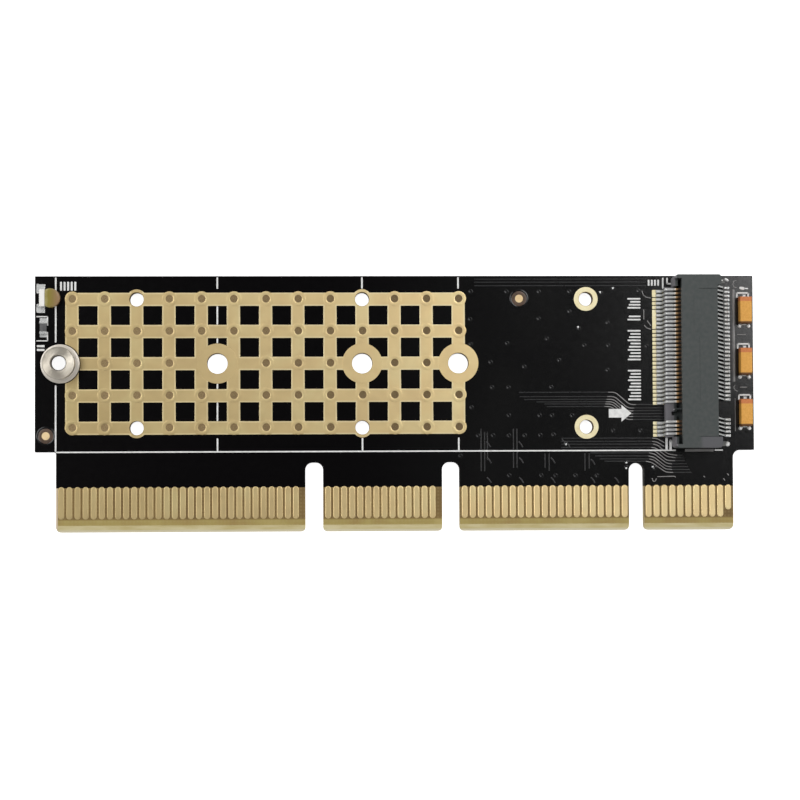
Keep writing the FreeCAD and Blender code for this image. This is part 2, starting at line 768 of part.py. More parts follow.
def front_contact_outline():
    """Foot on its land, up the comb, along it and up the ramp into the slot, with a sprung nose."""
    step = "front_foot"
    lying = "comb_height + contact_thick"
    floor = "slot_floor + contact_thick"
    return [
        ("0", "pad_thick"),
        (step, "pad_thick"),
        (step, "comb_height"),
        (f"{step} + {CHEEK}", "comb_height"),
        (f"{step} + {RAMP_END}", "slot_floor"),
        (f"{step} + comb_front - nose_short", "slot_floor + nose_rise"),
        (f"{step} + comb_front - nose_short", f"{floor} + nose_rise"),
        (f"{step} + {RAMP_END} - contact_thick / 2", floor),
        (f"{step} + {CHEEK} - contact_thick / 2", lying),
        (f"{step} - contact_thick", lying),
        (f"{step} - contact_thick", "pad_thick + contact_thick"),
        ("0", "pad_thick + contact_thick"),
    ]


def back_contact_outline():
    """Out of the housing's back wall, down and onto its land."""
    return [
        ("0", "back_leg_high"),
        ("back_leg_out", "back_leg_high"),
        ("back_leg_out + back_leg_fall", "pad_thick"),
        ("back_foot_end", "pad_thick"),
        ("back_foot_end", "pad_thick + contact_thick"),
        ("back_leg_out + back_leg_fall + contact_thick / 2", "pad_thick + contact_thick"),
        ("back_leg_out + contact_thick / 2", "back_leg_high + contact_thick"),
        ("0", "back_leg_high + contact_thick"),
    ]


CONTACT_ROWS = [
    ("front", FIRST_FRONT, "count_short_front", f"({COMB} - front_foot)", front_contact_outline),
    ("back", FIRST_BACK, "count_short_back", f"({COMB} + {BACK_WALL})", back_contact_outline),
]


def contact_runs(first, short):
    """The two runs of a contact row, above and below the key: a name, the first place, a count."""
    high = f"({LINE} + {first})"
    low = f"({high} - (count_long + key_skip) * contact_pitch)"
    return [("long", high, "count_long"), ("short", low, short)]


def make_contacts():
    for face, first, short, start_x, outline in CONTACT_ROWS:
        for word, high, count in contact_runs(first, short):
            name = f"{face}_{word}"
            body = new_body(f"{name}_contacts")
            profile = section(body, f"{name}_section", start_x, high, outline())
            one = pad(body, f"{name}_contact", profile, "contact_width", both=True)
            repeat(body, f"{name}_row", one, ("Y_Axis", "contact_pitch", count, True))
            node(body, f"socket_{face}_contacts_{word}")


def make_contact_lands():
    lands = [
        ("front", FIRST_FRONT, "count_short_front", f"{SEAT} - front_land_from", "front_land_long"),
        ("back", FIRST_BACK, "count_short_back", f"{SEAT} + back_land_from", "back_land_long"),
    ]
    for face, first, short, x, long in lands:
        body = new_body(f"{face}_lands")
        for word, high, count in contact_runs(first, short):
            name = f"{face}_{word}_land"
            low_edge = f"{high} - land_width / 2"
            profile = sketch(body, f"{name}_outline", "XY_Plane", x, low_edge, FRONT)
            land = pad(body, name, rectangle(profile, long, "land_width"), "pad_thick")
            repeat(body, f"{name}s", land, ("Y_Axis", "contact_pitch", count, True))
        node(body, f"socket_{face}_lands")


def make_hold_downs():
    """An angle of sheet metal behind each ear, soldered down."""
    tabs = []
    for side in ("-", "+"):
        middle = f"({LINE} {side} ({SOCKET} / 2 - holddown_inset - holddown_width / 2))"
        low_edge = f"{middle} - holddown_width / 2"
        start = f"{COMB} + {EAR_WALL}"
        upright = box("tab", "holddown_thick", "holddown_width", "holddown_high - pad_thick",
                      start, low_edge, f"{FRONT} + pad_thick")
        foot = box("tab_foot", "holddown_foot", "holddown_width", "holddown_thick",
                   start, low_edge, f"{FRONT} + pad_thick")
        tabs.append(join("hold_down", [upright, foot]))
    node(group("hold_downs", tabs), "socket_hold_downs")


# ---------------------------------------------------------------- small components

CAP_FLOOR = f"({FRONT} + pad_thick + cap_rise)"
CAPACITORS = [(word, f"({LINE} + cap_shift + {step} * cap_pitch)")
              for word, step in (("upper", 1), ("middle", 0), ("lower", -1))]


def make_capacitors():
    """Moulded bodies, drafted both ways from the parting line, on two folded terminals each."""
    for word, middle in CAPACITORS:
        body = new_body(f"{word}_moulding")
        corner = (f"{CAP_X} - cap_width / 2", f"{middle} - cap_long / 2", f"{CAP_FLOOR} + cap_lower")
        profile = rectangle(sketch(body, f"{word}_parting", "XY_Plane", *corner), "cap_width", "cap_long")
        lower = pad(body, f"{word}_lower", profile, "cap_lower", back=True)
        bind(lower, "TaperAngle", "-cap_draft")
        upper = pad(body, f"{word}_upper", profile, "cap_upper")
        bind(upper, "TaperAngle", "-cap_draft")
        node(body, f"capacitor_{word}_body")
        ends = [folded_terminal(word, middle, side) for side in (-1, 1)]
        node(group(f"{word}_ends", ends), f"capacitor_{word}_terminals")


def folded_terminal(word, middle, side):
    """Out at the parting line, down the end and back under the body."""
    body = new_body(f"{word}_terminal")
    end = f"{middle} + {side} * cap_long / 2"
    base = f"{FRONT} + pad_thick"
    profile = sketch(body, f"{word}_fold", "YZ_Plane", end, base, CAP_X)
    polygon(profile, [
        ("0", "cap_rise"),
        ("0", "cap_rise + cap_lower"),
        (f"{side} * term_thick", "cap_rise + cap_lower"),
        (f"{side} * term_thick", "0"),
        (f"{-side} * term_under", "0"),
        (f"{-side} * term_under", "cap_rise"),
    ])
    pad(body, f"{word}_strip", profile, "term_width", both=True)
    return body


def make_indicator():
    """A side-looking diode: a white base with a soldered terminal at each end, and a domed lens."""
    back = f"({LEFT} + led_edge)"
    middle = f"({FAR} - led_top)"
    floor = f"({FRONT} + pad_thick)"
    low = f"{middle} - led_base_long / 2"
    node(box("led_block", "led_base_deep", "led_base_long", "led_base_high", back, low, floor), "led_base")
    lens = new_body("lens")
    face = f"({back} + led_base_deep)"
    centre = f"({face} + led_lens_reach - led_lens_wide / 2)"
    z = f"{FRONT} + led_gap"
    dome = pad(lens, "dome", circle(sketch(lens, "dome_circle", "XY_Plane", centre, middle, z),
                                    "led_lens_wide"), "led_lens_high")
    doc.recompute()
    top = dome.Shape.BoundBox.ZMax
    edges = [f"Edge{number}" for number, edge in enumerate(dome.Shape.Edges, start=1)
             if len(edge.Vertexes) == 1 and edge.CenterOfMass.z > top - size("led_lens_high") / 2]
    chamfer(lens, "dome_top", dome, edges, "led_lens_chamfer")
    flat = sketch(lens, "flat", "XY_Plane", f"{face} - led_lens_wide", f"{middle} - led_lens_wide", z)
    rectangle(flat, "led_lens_wide", "2 * led_lens_wide")
    pocket(lens, "flat_cut", flat, "led_lens_high", back=True)
    node(lens, "led_lens")
    ends = []
    for side in (-1, 1):
        start = f"{middle} + {side} * led_base_long / 2 + ({side} - 1) / 2 * led_term_thick"
        ends.append(box("led_end", "led_base_deep", "led_term_thick", "led_base_high / 2",
                        back, start, floor))
    node(group("led_ends", ends), "led_terminals")


def make_resistor():
    """A ceramic chip with a plated cap over each end."""
    x = f"({LEFT} + chip_edge - chip_wide / 2)"
    low = f"({FAR} - chip_top - chip_long / 2)"
    floor = f"({FRONT} + pad_thick)"
    plate = "chip_cap_thick"
    long = f"chip_long - 2 * {plate}"
    chip = ("chip_wide", long, "chip_high", x, f"{low} + {plate}", f"{floor} + {plate}")
    node(box("chip", *chip), "resistor_body")
    caps = []
    for word, start in (("low", low), ("high", f"{low} + chip_long - chip_cap")):
        wrap = box(f"{word}_wrap", f"chip_wide + 2 * {plate}", "chip_cap", f"chip_high + 2 * {plate}",
                   f"{x} - {plate}", start, floor)
        caps.append(cut(f"{word}_cap", wrap, box(f"{word}_core", *chip)))
    node(group("chip_caps", caps), "resistor_end_caps")


def make_component_lands():
    lands = []
    inward = "(cap_long / 2 - cap_land_in)"
    for _word, middle in CAPACITORS:
        for side in (-1, 1):
            edge = f"{middle} + {side} * {inward} + ({side} - 1) / 2 * (cap_land_in + cap_land_out)"
            lands.append(box("cap_land", "cap_land_width", "cap_land_in + cap_land_out", "pad_thick",
                             f"{CAP_X} - cap_land_width / 2", edge, FRONT))
    led_x = f"{LEFT} + led_edge - led_land_back"
    led_middle = f"({FAR} - led_top)"
    chip_x = f"{LEFT} + chip_edge - chip_land_wide / 2"
    chip_middle = f"({FAR} - chip_top)"
    led_from = "(led_base_long / 2 - led_land_in)"
    chip_from = "(chip_long / 2 - chip_cap)"
    for side in (-1, 1):
        low = f"{led_middle} + {side} * {led_from} + ({side} - 1) / 2 * led_land_long"
        lands.append(box("led_land", "led_land_deep", "led_land_long", "pad_thick", led_x, low, FRONT))
        long = "(chip_cap + chip_land_out)"
        low = f"{chip_middle} + {side} * {chip_from} + ({side} - 1) / 2 * {long}"
        lands.append(box("chip_land", "chip_land_wide", long, "pad_thick", chip_x, low, FRONT))
    node(group("lands", lands), "component_lands")


# ---------------------------------------------------------------- build, check and write


def check():
    """Stop if any object failed or any finished piece is empty or broken."""
    faults = []
    for item in doc.Objects:
        if "Invalid" in item.State or "Error" in item.State:
            faults.append(f"{item.Name}: {item.State}")
    for item in nodes:
        if item.Shape.isNull() or not item.Shape.isValid() or not item.Shape.Solids:
            faults.append(f"{item.Label}: no valid solid")
    if faults:
        raise RuntimeError("; ".join(faults))


def write():
    os.makedirs("parts", exist_ok=True)
    for item in nodes:
        item.Shape.exportStep(f"parts/{item.Label}.step")


make_board()
make_lattice()
make_fingers()
make_screw_places()
make_sink_rings()
make_marks()
make_standoff()
make_housing()
make_contacts()
make_contact_lands()
make_hold_downs()
make_capacitors()
make_indicator()
make_resistor()
make_component_lands()
doc.recompute()
check()
write()
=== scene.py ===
# %% [markdown]
# # A drive adapter card, dressed for its picture
# This card carries a small solid-state drive and plugs into a long card-edge slot.
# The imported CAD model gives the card's form. This notebook adds what a plain solid
# can't show: solder mask, plated copper, solder, moulded plastic and white print.

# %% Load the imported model
import math
from contextlib import contextmanager

import bmesh
import bpy
from mathutils import Matrix, Vector


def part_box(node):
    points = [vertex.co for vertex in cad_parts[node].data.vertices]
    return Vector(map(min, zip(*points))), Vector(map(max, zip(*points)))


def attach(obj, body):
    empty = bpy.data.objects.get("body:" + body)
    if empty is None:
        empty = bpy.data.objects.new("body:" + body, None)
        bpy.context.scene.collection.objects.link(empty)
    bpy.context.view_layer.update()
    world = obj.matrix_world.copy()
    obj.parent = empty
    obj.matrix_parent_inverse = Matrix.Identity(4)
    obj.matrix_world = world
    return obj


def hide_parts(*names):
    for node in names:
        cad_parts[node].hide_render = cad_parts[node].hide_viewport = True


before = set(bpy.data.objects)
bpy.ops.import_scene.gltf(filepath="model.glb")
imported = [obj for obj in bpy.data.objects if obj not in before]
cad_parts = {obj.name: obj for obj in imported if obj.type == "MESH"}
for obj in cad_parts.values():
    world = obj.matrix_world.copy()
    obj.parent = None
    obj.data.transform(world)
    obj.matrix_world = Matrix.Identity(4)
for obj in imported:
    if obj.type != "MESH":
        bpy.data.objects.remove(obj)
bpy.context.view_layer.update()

MM = 0.001


def corners(node):
    """A CAD node's low and high corners, in millimetres."""
    low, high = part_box(node)
    return low / MM, high / MM


# %% [markdown]
# ## Sizes
# The board's front is the plane that everything stands on. The copper lies a little
# above it. These levels and the drive's centre line are read from the model, so what
# is built from them follows when the model changes.

# %% Levels and lines
BOARD_LOW, BOARD_HIGH = corners("circuit_board")
FRONT = BOARD_HIGH.z
LATTICE_LOW, LATTICE_HIGH = corners("thermal_lattice")
COPPER = LATTICE_HIGH.z
STANDOFF_LOW, STANDOFF_HIGH = corners("drive_standoff")
STANDOFF_X = (STANDOFF_LOW.x + STANDOFF_HIGH.x) / 2
LINE = (STANDOFF_LOW.y + STANDOFF_HIGH.y) / 2
HOUSING_LOW, HOUSING_HIGH = corners("socket_housing")
FINGER_TOP = corners("front_fingers_outer")[1].y
CAPACITORS = ("upper", "middle", "lower")
SCREWS = ("thirty", "forty_two", "sixty")
print(f"front {FRONT:.2f}, copper {COPPER:.2f}, drive line {LINE:.2f}, fingers end at {FINGER_TOP:.2f}")


# %% [markdown]
# ## Small helpers
# Node trees take many nodes, for shaders and for geometry alike. One helper adds a
# node, sets its options and fills its sockets, from a value or from another socket.

# %% Node helpers
def put(tree, kind, inputs=None, **settings):
    node = tree.nodes.new(kind)
    for word, value in settings.items():
        setattr(node, word, value)
    for key, value in (inputs or {}).items():
        socket = node.inputs[key]
        if isinstance(value, bpy.types.NodeSocket):
            tree.links.new(value, socket)
        else:
            socket.default_value = value
    return node


def maths(tree, operation, first, second=0.0, third=0.0):
    node = put(tree, "ShaderNodeMath", {0: first, 1: second, 2: third}, operation=operation)
    return node.outputs[0]


def paint(red, green, blue):
    """A colour as it looks on a screen, from 0 to 255, as the linear colour that shaders take."""
    def linear(value):
        value /= 255
        return value / 12.92 if value <= 0.04045 else ((value + 0.055) / 1.055) ** 2.4
    return (linear(red), linear(green), linear(blue), 1.0)


def mixed(tree, factor, first, second):
    node = put(tree, "ShaderNodeMix", {0: factor, 6: first, 7: second}, data_type="RGBA")
    return node.outputs[2]


def split(tree, vector):
    """A vector's X, Y and Z."""
    return put(tree, "ShaderNodeSeparateXYZ", {0: vector}).outputs


def step_down(tree, value, start, end):
    """1 up to start, falling smoothly to 0 at end."""
    node = put(tree, "ShaderNodeMapRange", {"Value": value, "From Min": start, "From Max": end,
                                            "To Min": 1.0, "To Max": 0.0},
               interpolation_type="SMOOTHSTEP")
    return node.outputs[0]


# %% [markdown]
# ## Materials
# Each finish starts from one Principled shader. `finish` sets its plain sockets,
# `grain` gives noise in millimetres, and `relief` turns any height into bump.
# All patterns read Object coordinates, so they travel with the piece.

# %% Material helpers
def finish(name, **sockets):
    material = bpy.data.materials.new(name)
    material.use_nodes = True
    shader = material.node_tree.nodes["Principled BSDF"]
    for word, value in sockets.items():
        shader.inputs[word.replace("_", " ")].default_value = value
    return material, material.node_tree, shader


def ruler(tree, stretch=(1, 1, 1), move=(0, 0, 0)):
    """Object coordinates in millimetres."""
    where = put(tree, "ShaderNodeTexCoord")
    scale = tuple(value / MM for value in stretch)
    node = put(tree, "ShaderNodeMapping",
               {"Vector": where.outputs["Object"], "Scale": scale, "Location": move})
    return node.outputs[0]


def grain(tree, per_mm, detail=3.0, stretch=(1, 1, 1)):
    node = put(tree, "ShaderNodeTexNoise",
               {"Vector": ruler(tree, stretch), "Scale": per_mm, "Detail": detail})
    return node.outputs[0]


def relief(tree, shader, height, depth_mm, strength=1.0):
    node = put(tree, "ShaderNodeBump",
               {"Height": height, "Distance": depth_mm * MM, "Strength": strength})
    tree.links.new(node.outputs[0], shader.inputs["Normal"])


def tones(tree, value, *stops):
    """A colour ramp from (place, colour) pairs."""
    node = put(tree, "ShaderNodeValToRGB", {0: value})
    marks = node.color_ramp.elements
    while len(marks) < len(stops):
        marks.new(0.5)
    for mark, (place, colour) in zip(marks, stops):
        mark.position = place
        mark.color = colour
    return node.outputs[0]


def between(tree, value, low, high):
    """Noise or any 0 to 1 value, spread from low to high."""
    node = put(tree, "ShaderNodeMapRange", {"Value": value, "To Min": low, "To Max": high})
    return node.outputs[0]


def cloudy(tree, value, low, high):
    """From one painted colour to another, as noise goes from its low to its high."""
    return tones(tree, value, (0.3, paint(*low)), (0.7, paint(*high)))


def surface(tree, shader, colour, rough, bump):
    """Wire a colour, a roughness (grain, low, high) and a relief (grain, depth)."""
    tree.links.new(colour, shader.inputs["Base Color"])
    tree.links.new(between(tree, grain(tree, rough[0]), *rough[1:]), shader.inputs["Roughness"])
    relief(tree, shader, grain(tree, bump[0]), bump[1], 0.8)


def plain(name, low, high, rough, per_mm, depth, **sockets):
    """A finish that wanders between two colours and two roughnesses."""
    material, tree, shader = finish(name, **sockets)
    colour = cloudy(tree, grain(tree, per_mm / 6), low, high)
    surface(tree, shader, colour, (per_mm / 3, *rough), (per_mm, depth))
    return material


# %% [markdown]
# ### The board
# A circuit board is woven glass in resin, covered with black solder mask. Along the
# card edge the mask stops and the laminate shows: olive between the fingers, pale
# where the tip is bevelled and the glass is cut. One material does all of this from
# the place on the board and the direction that the surface faces.

# %% Board material
MASK_END = FINGER_TOP - 0.06
BARE_BAND = -14.35
BEVEL_START = BOARD_LOW.y + 0.85
CUT_EDGE = paint(46, 41, 31)

board_finish, tree, shader = finish("solder_mask_board", Specular_IOR_Level=0.5)
place = split(tree, ruler(tree))
facing = split(tree, put(tree, "ShaderNodeTexCoord").outputs["Normal"])
is_side = maths(tree, "LESS_THAN", maths(tree, "ABSOLUTE", facing[2]), 0.5)
is_bare = maths(tree, "LESS_THAN", place[1], MASK_END)
is_tip = step_down(tree, place[1], BEVEL_START - 0.05, BEVEL_START + 0.02)
is_band = step_down(tree, place[1], BARE_BAND - 0.15, BARE_BAND + 0.15)
mask_tone = cloudy(tree, grain(tree, 0.12), (12, 12, 13), (18, 18, 18))
# Painted shade: the mask is painted darker towards the left.
mask_tone = mixed(tree, step_down(tree, place[0], -8.0, 16.0), mask_tone, paint(5, 4, 5))
warp, weft = [put(tree, "ShaderNodeTexWave", {"Vector": ruler(tree), "Scale": 0.7, "Distortion": 1.2},
                  bands_direction=axis) for axis in "XY"]
weave = maths(tree, "MULTIPLY", warp.outputs[1], weft.outputs[1])
cloud = grain(tree, 0.35)
shaded = cloudy(tree, cloud, (104, 80, 36), (122, 97, 46))
resin = tones(tree, cloud, (0.3, paint(150, 126, 68)), (0.55, paint(160, 142, 78)),
              (0.8, paint(178, 160, 100)))
resin = mixed(tree, is_band, shaded, resin)
laminate = mixed(tree, between(tree, weave, 0.0, 0.2), resin, paint(176, 158, 108))
fibres = grain(tree, 0.9, 5.0, (0.35, 1.8, 1))
cut_glass = cloudy(tree, fibres, (190, 174, 118), (212, 200, 156))
very_tip = step_down(tree, place[1], BOARD_LOW.y + 0.12, BOARD_LOW.y + 0.4)
cut_glass = mixed(tree, very_tip, cut_glass, paint(214, 205, 174))
bare_face = mixed(tree, is_tip, laminate, cut_glass)
is_margin = step_down(tree, place[0], BOARD_LOW.x + 2.78, BOARD_LOW.x + 2.9)
bare_face = mixed(tree, is_margin, bare_face, paint(208, 190, 164))
bare_side = mixed(tree, is_side, bare_face, paint(196, 180, 142))
masked = mixed(tree, is_side, mask_tone, CUT_EDGE)
tree.links.new(mixed(tree, is_bare, masked, bare_side), shader.inputs["Base Color"])
dull = maths(tree, "MAXIMUM", is_side, is_bare)
mask_gloss = between(tree, grain(tree, 1.4), 0.12, 0.17)
rough = maths(tree, "MULTIPLY_ADD", dull, 0.38, mask_gloss)
tree.links.new(rough, shader.inputs["Roughness"])
ripple = maths(tree, "MULTIPLY", grain(tree, 1.6, 2.0), maths(tree, "SUBTRACT", 1.0, dull))
height = maths(tree, "MULTIPLY_ADD", weave, dull, ripple)
relief(tree, shader, height, 0.006, 0.5)
print("board material:", len(tree.nodes), "nodes; mask ends at", round(MASK_END, 2))

# %% [markdown]
# ### Plated copper
# The lattice, the rings and the fingers are copper under a thin coat of soft gold. It
# is fine-grained and nearly matt, with faint clouds. It is painted brighter towards the
# right, painted light. Where the lattice meets a window, a paler rim is painted, a painted
# highlight where the edge of the plating catches light; the rim follows from the pitch.

# %% Gold materials
def gold(name, rimmed=False):
    material, tree, shader = finish(name, Metallic=0.7, Specular_IOR_Level=0.5)
    clouds = grain(tree, 0.22, 4.0)
    stops = (0.32, 0.5, 0.68)
    dim, clear = [tones(tree, clouds, *zip(stops, colours)) for colours in (
        (paint(184, 162, 113), paint(192, 170, 120), paint(198, 180, 128)),
        (paint(238, 210, 156), paint(244, 217, 160), paint(246, 224, 168)))]
    place = split(tree, ruler(tree))
    along = maths(tree, "MULTIPLY_ADD", maths(tree, "MAXIMUM", place[1], -3.0), 0.8, place[0])
    # Painted light: the gold is painted brighter towards the right.
    painted_light_share = put(tree, "ShaderNodeMapRange", {"Value": along, "From Min": -46.0, "From Max": 16.0}).outputs[0]
    colour = mixed(tree, painted_light_share, dim, clear)
    if rimmed:
        # Painted highlight: a paler rim beside each window.
        painted_rim_highlight = mixed(tree, painted_light_share, paint(230, 210, 158), paint(250, 232, 186))
        colour = mixed(tree, window_rim_highlight(tree), colour, painted_rim_highlight)
    else:
        tone = put(tree, "ShaderNodeAttribute", attribute_name="tone").outputs["Fac"]
        colour = mixed(tree, between(tree, tone, 0.0, 0.2), colour, paint(222, 200, 150))
    tree.links.new(colour, shader.inputs["Base Color"])
    tree.links.new(between(tree, grain(tree, 1.1), 0.32, 0.42), shader.inputs["Roughness"])
    relief(tree, shader, grain(tree, 9.0, 4.0), 0.004, 0.7)
    return material


BAR = 1.65
PITCH = 4.0


def window_rim_highlight(tree):
    """High on the strip of copper beside each window of the lattice, where a highlight is painted; from the
    bars' pitch.
    """
    place = split(tree, ruler(tree))
    short = []
    for axis, first in ((0, LATTICE_LOW.x + BAR / 2), (1, LINE)):
        turn = maths(tree, "PINGPONG", maths(tree, "SUBTRACT", place[axis], first), PITCH / 2)
        short.append(maths(tree, "MAXIMUM", maths(tree, "SUBTRACT", BAR / 2, turn), 0.0))
    squares = [maths(tree, "POWER", value, 2.0) for value in short]
    far = maths(tree, "SQRT", maths(tree, "ADD", *squares))
    return maths(tree, "MULTIPLY", step_down(tree, far, 0.08, 0.24), 0.9)


gold_finish = gold("soft_gold")
lattice_finish = gold("lattice_gold", rimmed=True)
pale_finish = plain("pale_gold", (236, 222, 176), (248, 238, 196), (0.34, 0.46), 7, 0.004, Metallic=0.35)
print("lattice bars", BAR, "wide every", PITCH, "mm")

# %% [markdown]
# ### Metals, plastics and ink
# The rest are simple by comparison, but none is one flat colour: solder has soft
# dimples, moulded plastic a fine spark-eroded grain, and the resin in the vias a
# speckle.

# %% Other materials
contact_finish = plain("tinned_contact", (186, 187, 185), (212, 212, 210), (0.3, 0.42), 6, 0.004,
                       Metallic=0.75)
plated_finish, tree, shader = finish("plated_contact", Metallic=0.75)
place = split(tree, ruler(tree))
is_tinned = step_down(tree, place[0], HOUSING_LOW.x + 1.1, HOUSING_LOW.x + 1.45)
# Painted shade: the brass tips are painted dark brown further in under the roof.
painted_roof_shade_mask = step_down(tree, place[0], HOUSING_LOW.x + 1.4, HOUSING_LOW.x + 1.7)
brass = mixed(tree, painted_roof_shade_mask, paint(60, 42, 28), paint(156, 124, 84))
tin = cloudy(tree, grain(tree, 1.0), (176, 177, 176), (206, 206, 204))
surface(tree, shader, mixed(tree, is_tinned, brass, tin), (2.0, 0.28, 0.4), (6.0, 0.004))
LEG = corners("socket_back_contacts_long")[0].x
leg_finish, tree, shader = finish("bent_leg", Metallic=0.3)
place = split(tree, ruler(tree))
# Painted shade: each leg is painted near-black just before its solder.
painted_leg_shade_mask = step_down(tree, place[0], LEG + 1.24, LEG + 1.36)
tin = cloudy(tree, grain(tree, 1.0), (186, 189, 188), (216, 218, 216))
surface(tree, shader, mixed(tree, painted_leg_shade_mask, paint(26, 26, 28), tin), (2.0, 0.3, 0.42), (6.0, 0.004))
solder_finish = plain("solder", (206, 208, 208), (232, 232, 230), (0.2, 0.34), 2.5, 0.01, Metallic=0.7)
turned_finish, tree, shader = finish("turned_nickel", Metallic=0.75)
rings = put(tree, "ShaderNodeTexWave", {"Vector": ruler(tree, move=(-STANDOFF_X, -LINE, 0)), "Scale": 3.2,
                                        "Distortion": 0.6}, wave_type="RINGS", rings_direction="Z")
place = split(tree, ruler(tree))
# Painted light: the flange is painted paler and less metallic than the rest of the nut.
painted_flange_light = step_down(tree, place[2], FRONT + 0.38, FRONT + 0.5)
nickel = cloudy(tree, grain(tree, 0.4), (176, 168, 154), (198, 191, 178))
# Painted shade: a dark band is painted round the neck under the head.
painted_neck_shade = step_down(tree, place[2], STANDOFF_HIGH.z - 0.6, STANDOFF_HIGH.z - 0.4)
nickel = mixed(tree, painted_neck_shade, nickel, paint(92, 87, 80))
tree.links.new(mixed(tree, painted_flange_light, nickel, paint(226, 218, 206)), shader.inputs["Base Color"])
tree.links.new(maths(tree, "MULTIPLY_ADD", painted_flange_light, -0.45, 0.75), shader.inputs["Metallic"])
tree.links.new(between(tree, grain(tree, 1.5), 0.24, 0.36), shader.inputs["Roughness"])
relief(tree, shader, rings.outputs[1], 0.006, 0.6)

# Painted highlight: a paler copy of solder, for joints that glint.
highlit_solder_finish = plain("solder_painted_highlight", (240, 240, 238), (252, 252, 250), (0.3, 0.42), 3, 0.006, Metallic=0.45)
dull_finish = plain("dull_tin", (92, 92, 90), (118, 118, 116), (0.45, 0.6), 8, 0.006, Metallic=0.4)
housing_finish, tree, shader = finish("housing_plastic", Specular_IOR_Level=0.4)
place = split(tree, ruler(tree))
# Painted light: the comb in front of the roof is painted paler than the rest of the moulding.
painted_comb_light_mask = step_down(tree, place[0], HOUSING_LOW.x + 0.98, HOUSING_LOW.x + 1.15)
is_ear = step_down(tree, place[1], HOUSING_LOW.y + 1.3, HOUSING_LOW.y + 1.42)
is_end = step_down(tree, place[0], HOUSING_HIGH.x - 2.9, HOUSING_HIGH.x - 2.3)
is_ear = maths(tree, "MULTIPLY", is_ear, maths(tree, "SUBTRACT", 1.0, is_end))
roof = cloudy(tree, grain(tree, 2.3), (60, 66, 65), (70, 73, 72))
roof = mixed(tree, is_ear, roof, paint(84, 84, 87))
surface(tree, shader, mixed(tree, painted_comb_light_mask, roof, paint(112, 110, 114)), (4.6, 0.45, 0.58), (14, 0.006))
white_finish = plain("white_moulding", (236, 234, 228), (247, 246, 242), (0.35, 0.5), 8, 0.005)
ink_finish = plain("white_ink", (214, 214, 212), (240, 240, 238), (0.5, 0.65), 12, 0.006)
ceramic_finish = plain("black_ceramic", (74, 74, 76), (98, 98, 98), (0.3, 0.45), 10, 0.004)
resin_finish, tree, shader = finish("via_resin")
place = split(tree, ruler(tree))
speckle = grain(tree, 12)
light_resin = cloudy(tree, speckle, (112, 90, 54), (160, 136, 92))
dark_resin = cloudy(tree, speckle, (76, 58, 30), (120, 98, 58))
is_left = step_down(tree, place[0], -42.0, 8.0)
surface(tree, shader, mixed(tree, is_left, dark_resin, light_resin), (3.0, 0.35, 0.5), (12, 0.012))
# Painted shade: the plated hole walls are painted dark brown, for the shade inside the bores.
wall_finish = plain("plated_wall", (112, 88, 52), (136, 112, 72), (0.3, 0.42), 4, 0.006, Metallic=0.5)
dot_finish = plain("bare_dot", (220, 190, 142), (238, 212, 164), (0.25, 0.35), 7, 0.004)
window_finish = plain("bare_ring", (66, 50, 38), (92, 72, 58), (0.3, 0.4), 7, 0.004)
trace_finish = plain("masked_trace", (25, 25, 26), (34, 34, 35), (0.24, 0.34), 5, 0.004)
# Painted highlight: a pale copy of the mask for traces and plane edges that catch light.
ridge_highlight_finish = plain("masked_ridge_painted_highlight", (118, 116, 115), (142, 140, 139), (0.16, 0.24), 5, 0.004)
dimple_finish = plain("masked_dimple", (9, 9, 10), (15, 15, 16), (0.14, 0.22), 5, 0.004)

lens_finish, tree, shader = finish("amber_lens", Transmission_Weight=0.15, IOR=1.5, Roughness=0.25,
                                   Coat_Weight=0.4, Coat_Roughness=0.12)
place = split(tree, ruler(tree))
LENS_LOW, LENS_HIGH = corners("led_lens")
across = put(tree, "ShaderNodeMapRange", {"Value": place[0], "From Min": LENS_LOW.x,
                                          "From Max": LENS_HIGH.x}).outputs[0]
# Across the lens the tint goes from olive to pink with noise; its left edge is painted pale, a painted
# highlight.
tint_and_rim_highlight = maths(tree, "MULTIPLY_ADD", grain(tree, 0.8), 0.4, maths(tree, "SUBTRACT", across, 0.2))
tree.links.new(tones(tree, tint_and_rim_highlight, (0.0, paint(184, 174, 118)), (0.22, paint(150, 136, 58)),
                     (0.5, paint(150, 130, 70)), (0.9, paint(160, 128, 90))), shader.inputs["Base Color"])
relief(tree, shader, grain(tree, 5.0), 0.003, 0.5)
print("materials so far:", len(bpy.data.materials))

# %% [markdown]
# A tantalum capacitor is moulded in mustard epoxy. The orange band marks its positive
# end, here the end towards the board's far edge. At the other end a dark brown band is painted: painted
# shade.

# %% Capacitor material
CAP_BAND = 0.62
cap_ends = [corners(f"capacitor_{word}_body")[1].y for word in CAPACITORS]
cap_finish, tree, shader = finish("moulded_tantalum", Specular_IOR_Level=0.4)
place = split(tree, ruler(tree))
band = 0.0
for end in cap_ends:
    above = maths(tree, "GREATER_THAN", place[1], end - CAP_BAND)
    below = maths(tree, "LESS_THAN", place[1], end + CAP_BAND)
    band = maths(tree, "MULTIPLY_ADD", above, below, band)
